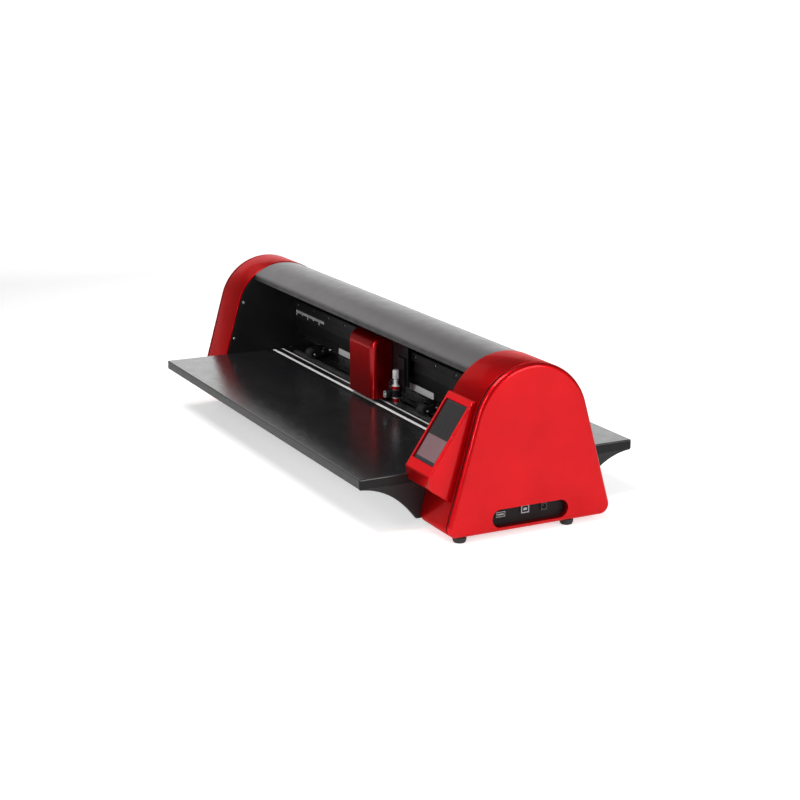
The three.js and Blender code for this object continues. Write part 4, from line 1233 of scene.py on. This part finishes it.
def pod():
    """A hollow wedge that the housing cuts into, with the screen let into its sloping face."""
    low, high = box_mm("pod_housing")
    edge, corner = 1.8, 2.4

    def section(inset):
        return rounded(inset_outline(POD_OUTLINE, inset), corner, 6)

    stations = round_in(low.x, edge) + round_out(high.x, edge)
    body = loft("pod_housing_fine", [at_x(section(inset), x) for x, inset in stations])
    cavity = prism("cavity", "x", inset_outline(POD_OUTLINE, POD_WALL), low.x + POD_WALL, high.x - POD_WALL)
    housing = prism("housing", "x", housing_outline(-0.3), low.x - 10, high.x + 10)
    window = on_face(prism("window", "z", face_outline(0, 1.6), -POD_WALL - 2, 2))
    for cutter in (cavity, housing, window):
        combine(body, cutter)
    dress(soften(body, 0.45, 3, 40), "red_gloss", "pod_housing")
    # painted light: the faces turned to the front and up get the lighter copy of the red paint
    second_finish(body, "red_face_lit", lambda normal: normal.y < -0.7 and normal.z > 0.45)

    glass = on_face(prism("touchscreen_fine", "z", face_outline(0.4, 1.4), -4.2, -1.8))
    dress(soften(glass, 0.3, 3), "screen", "touchscreen")
    frame_width = 3.2
    half, head = SCREEN_WIDTH / 2 - frame_width, SCREEN_FOOT + SCREEN_HEIGHT - frame_width
    foot = SCREEN_FOOT + 5.2
    split = foot + 0.4 * (head - foot)
    # painted reflection: the lower part of the screen is painted pink as a reflection in the glass, and the
    # upper part is the dark display
    areas = (("display", "display", split + 0.2, head), ("pink_reflection", "display_pink_reflection", foot, split))
    for name, look, v0, v1 in areas:
        area = on_face(prism(f"touchscreen_{name}", "z", rectangle(-half, half, v0, v1), -2.0, -1.74))
        dress(flat_shaded(area), "screen", look=look)


# -------- ports and board


def ports():
    """Data sockets with contacts, and a power jack with its pin and collar."""
    for node in ("usb_a_port", "usb_b_port"):
        plain(node, "bright_metal", 0.25, look="grey_metal")
    plain("power_jack", "dark_plastic", 0.3)
    plain("port_panel", "dark_plastic", 0.25, look="port_black")
    bm = bmesh.new()
    _, middle, z = middle_mm("usb_a_port")
    count, pitch = 4, 2.5
    for i in range(count):
        y = middle + pitch * (i - (count - 1) / 2)
        add_box(bm, 426, 432.4, y - 0.55, y + 0.55, z - 1.12, z - 0.95)
    dress(link_mesh("usb_contacts", bm, smooth=False), "bright_metal")
    _, y, z = middle_mm("power_jack")
    pin = rounded([(0, 423), (0.95, 423), (0.95, 432.6), (0, 432.8)], 0.3, 3, closed=False)
    dress(flat_shaded(turned("power_jack_pin", "x", pin, (0, y, z), 24)), "bright_metal")
    collar = rectangle(3.02, 3.9, 432.2, 433.2)
    ring = turned("power_jack_ring", "x", collar + collar[:1], (0, y, z), 40)
    dress(soften(ring, 0.15, 1), "dark_plastic")


def main_board():
    """Circuit board with chips and their pins, capacitors, small parts and connectors."""
    plain("main_board", "circuit_board", 0.1, 1)
    top = box_mm("main_board")[1].z
    rng = random.Random(7)
    chips, metal, pale = bmesh.new(), bmesh.new(), bmesh.new()
    packages = (      # x, y, width, depth
        (386, -30, 14, 14), (384, 6, 10, 18), (404, 40, 8, 12), (378, 40, 9, 9), (404, -20, 7, 10))
    for x, y, w, d in packages:
        add_box(chips, x - w / 2, x + w / 2, y - d / 2, y + d / 2, top + 0.3, top + 1.8)
        pins = int(d / 1.6)
        for i in range(pins):
            pin_y = y - d / 2 + d * (i + 0.5) / pins
            for pin_x in (x - w / 2, x + w / 2):
                add_box(metal, pin_x - 0.7, pin_x + 0.7, pin_y - 0.25, pin_y + 0.25, top + 0.05, top + 0.6)
    can = rectangle(0, 2.6, top, top + 8)
    for x, y in ((372, -50), (379, -50), (386, -50), (395, 52), (403, 54)):
        profile = rounded(can, 0.5, 3, closed=False)
        add_turned(metal, "z", profile, (x, y, 0), 28)
    for _ in range(36):
        x, y = rng.uniform(369, 411), rng.uniform(-55, 55)
        add_box(pale, x - 0.9, x + 0.9, y - 0.5, y + 0.5, top + 0.05, top + 0.6)
    for y in (-20, 20):
        add_box(pale, 366.8, 371, y - 8, y + 8, top + 0.05, top + 6)
    dress(soften(link_mesh("board_chips", chips), 0.15, 1), "dark_plastic")
    dress(link_mesh("board_metal", metal), "steel")
    dress(soften(link_mesh("board_connectors", pale), 0.1, 1), "pale_strip")


# -------- assembly

make_camera()
FINISHES = make_finishes()
make_floor()
make_studio()
build_housings()
table("front_table")
table("rear_table")
top_cover()
cover_screws()
side_plates()
wing_plates()
feet()
base_frame()
platen()
beam()
guide_rail()
pinch_bar()
shafts()
drum()
drum_drive()
carriage_drive()
carriage()
tool()
pinch_assemblies()
pod()
ports()
main_board()
